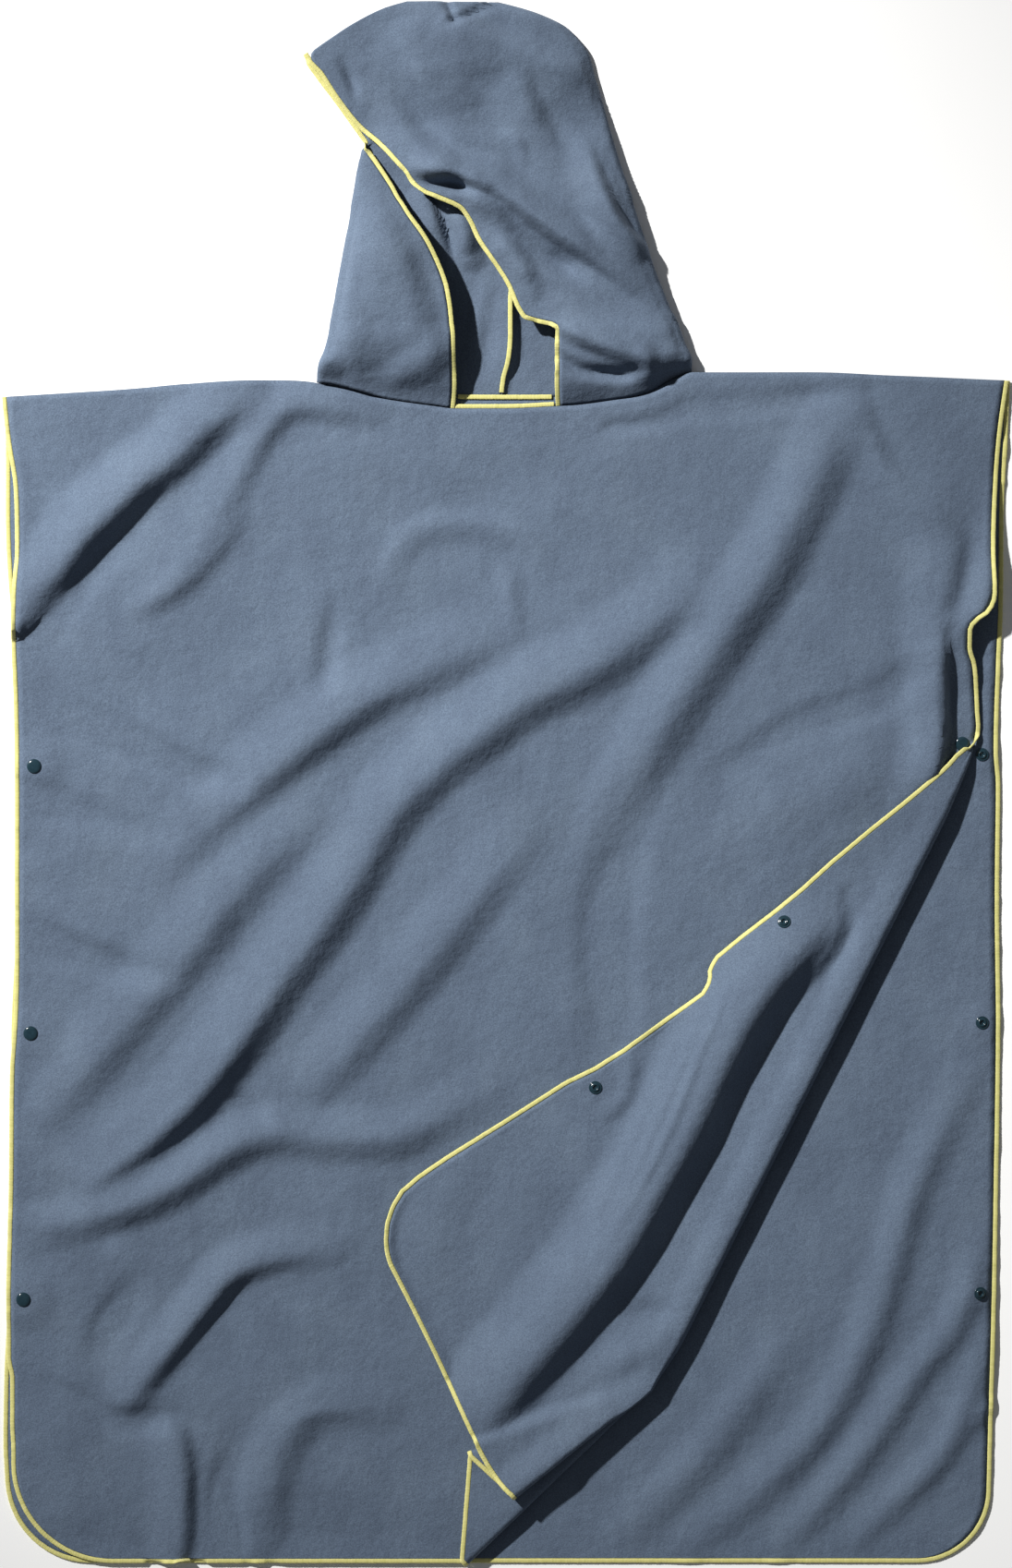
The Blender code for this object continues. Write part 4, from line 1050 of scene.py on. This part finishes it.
def surface_at(rows, x, y):
    """Height and normal of the sheet of rows nearest a place."""
    away = np.hypot(rows[..., 0] - x, rows[..., 1] - y)
    i, j = np.unravel_index(np.argmin(away), away.shape)
    i, j = min(max(i, 2), rows.shape[0] - 3), min(max(j, 2), rows.shape[1] - 3)
    across, up = rows[i, j + 2] - rows[i, j - 2], rows[i + 2, j] - rows[i - 2, j]
    normal = np.cross(across, up)
    normal = normal / np.linalg.norm(normal)
    if normal[2] < 0:
        normal = -normal
    here = rows[i, j]
    z = here[2] - (normal[0] * (x - here[0]) + normal[1] * (y - here[1])) / normal[2]
    return z, normal


def add_snaps(front, flap, back, material):
    """A cap on the outer face and a socket or stud on the inner face, at every fastener."""
    lift = WALL / 2 + 0.05

    def seat(label, rows, place, outer_up, inner, inner_profile):
        z, normal = surface_at(rows, *place)
        above = np.array((place[0], place[1], z)) + normal * lift
        below = np.array((place[0], place[1], z)) - normal * lift
        cap_place, inner_place = (above, below) if outer_up else (below, above)
        turned_piece(f"snap_cap_{label}", CAP_PROFILE, cap_place, normal,
                     f"cap_{label}", material, not outer_up)
        turned_piece(f"snap_{inner}_{label}", inner_profile, inner_place, normal,
                     f"{inner}_{label}", material, outer_up)

    for number, (left, right) in enumerate(zip(LEFT_SNAPS, RIGHT_SNAPS), start=1):
        seat(f"front_left_{number}", front, left, True, "stud", STUD_PROFILE)
        seat(f"back_left_{number}", back, left, False, "socket", STUD_PROFILE)
        seat(f"back_right_{number}", back, right, False, "socket", SOCKET_PROFILE)
    seat("front_right_1", front, FOLD_SNAP, True, "stud", STUD_PROFILE)
    for number, place in enumerate(FLAP_SNAPS, start=2):
        seat(f"front_right_{number}", flap, place, False, "stud", SOCKET_PROFILE)


# ------------------------------------------------------------------ build
def hood_face(rows, heights, reach=3):
    """A half's face edge from the neck to the tip, with the points inside it."""
    keep = heights <= HOOD_TIP_Y
    face, inner = rows[keep, -1], rows[keep, -1 - reach]
    onward = 5.0 * unit(face[-1] - face[-3])
    return np.vstack((face, face[-1] + onward)), np.vstack((inner, inner[-1] + onward))


def neck_trims(front_top, back_top, thread):
    """The neck edging between the hood's halves, and the two seams that show inside the hood."""
    count = 12
    seam_z = 2.0
    inner = np.array((0.0, 20.0, 0.0))
    bar_x = np.linspace(41.0, -43.0, count)
    bar_y = np.interp(bar_x, front_top[:, 0], front_top[:, 1])
    bar = np.column_stack((bar_x, bar_y, np.full(count, FRONT_Z)))
    edging_piece("neck_overlock", (bar, bar - inner), ("neck_edging",), thread)
    seam_x = np.linspace(39.0, -41.0, count)
    seam_y = np.interp(seam_x, back_top[:, 0], back_top[:, 1]) - 2.0
    seam = np.column_stack((seam_x, seam_y, np.full(count, seam_z)))
    edging_piece("neck_seam_overlock", (seam, seam - inner), ("neck_seam_edging",), thread, -0.2, 0.9)
    centre_y = np.linspace(333.0, 500.0, 40)
    centre_x = np.array([hood_table(y)["seam"] for y in centre_y]) - 2.4
    centre_z = seam_z + np.maximum(0.0, folds(HOOD_FLOOR_FOLDS, centre_x, centre_y))
    centre = np.column_stack((centre_x, centre_y, centre_z))
    edging_piece("back_seam_overlock", (centre, centre - (20.0, 0.0, 0.0)),
                 ("back_seam_edging",), thread, -0.2, 0.9)


def build():
    cloth, thread, plastic = cloth_material(), edging_material(), plastic_material()
    lower, upper = front_rows()
    back = back_rows()
    left_half, heights = hood_rows(-1, back[-1], lower[-1])
    right_half, _ = hood_rows(1, back[-1], lower[-1])

    back_piece = cloth_piece("back_panel_cloth", [back], "back_panel", cloth)
    front_piece = cloth_piece("front_panel_cloth", [lower, upper], "front_panel", cloth)
    left_piece = cloth_piece("hood_left_cloth", [left_half], "hood_left", cloth)
    right_piece = cloth_piece("hood_right_cloth", [right_half], "hood_right", cloth)

    points, inner = panel_edge(back)
    back_trim = edging_piece("back_overlock", (points, level_inner(points, inner)),
                             ("back_edging",), thread, -0.6, 1.0)
    front_trim = edging_piece("front_overlock", front_edge(lower, upper), ("front_edging",), thread)
    left_trim = edging_piece("hood_overlock_left", hood_face(left_half, heights),
                             ("hood_edging_left", "hood_edging_tip"), thread, -0.7, 0.7)
    right_trim = edging_piece("hood_overlock_right", hood_face(right_half, heights),
                              ("hood_edging_right",), thread, -0.7, 0.7)
    neck_trims(lower[-1], back[-1], thread)
    add_snaps(lower, upper[:, ROLL_POINTS:], back, plastic)


def stage_and_light():
    bpy.ops.mesh.primitive_plane_add(size=FLOOR_SIZE, location=(0, 0, FLOOR_Z))
    floor = bpy.context.object
    floor.name = "floor"
    material, tree, shader = start_material("pale floor")
    where = add(tree, "ShaderNodeTexCoord").outputs["Object"]
    tone = ramp(tree, noise_node(tree, where, 3.0), ((0.3, grey(0.95)), (0.7, grey(0.97))))
    tree.links.new(tone, shader.inputs["Base Color"])
    shader.inputs["Roughness"].default_value = 0.9
    floor.data.materials.append(material)

    lamp = bpy.data.lights.new("key", "AREA")
    lamp.shape = "DISK"
    lamp.size = KEY_SIZE
    lamp.energy = KEY_LEVEL * math.pi * KEY_DISTANCE**2
    lamp.color = (1.0, 0.99, 0.97)
    key = bpy.data.objects.new("key", lamp)
    elevation = math.radians(KEY_ELEVATION)
    heading = Vector((LIGHT_FROM[0], LIGHT_FROM[1], 0)).normalized() * math.cos(elevation)
    toward = heading + Vector((0, 0, math.sin(elevation)))
    lamp.spread = math.radians(KEY_SPREAD)
    key.location = KEY_AIM + toward * KEY_DISTANCE
    key.rotation_euler = toward.to_track_quat("Z", "Y").to_euler()
    bpy.context.scene.collection.objects.link(key)

    world = bpy.data.worlds.new("studio")
    bpy.context.scene.world = world
    world.use_nodes = True
    background = world.node_tree.nodes["Background"]
    background.inputs["Color"].default_value = (0.93, 0.96, 1.0, 1)
    background.inputs["Strength"].default_value = FILL_LEVEL

    camera = bpy.data.cameras.new("camera")
    camera.sensor_fit = "VERTICAL"
    camera.sensor_height = SENSOR_HEIGHT
    camera.lens = FOCAL_LENGTH
    camera.clip_end = 50.0
    view = bpy.data.objects.new("camera", camera)
    distance = VIEW_HEIGHT * MM * FOCAL_LENGTH / SENSOR_HEIGHT + CAMERA_LIFT
    view.location = (0.0, 0.0, distance)
    bpy.context.scene.collection.objects.link(view)
    bpy.context.scene.camera = view
    bpy.context.scene.view_settings.view_transform = "Standard"
    bpy.context.scene.view_settings.look = "None"


build()
stage_and_light()
bpy.context.view_layer.update()
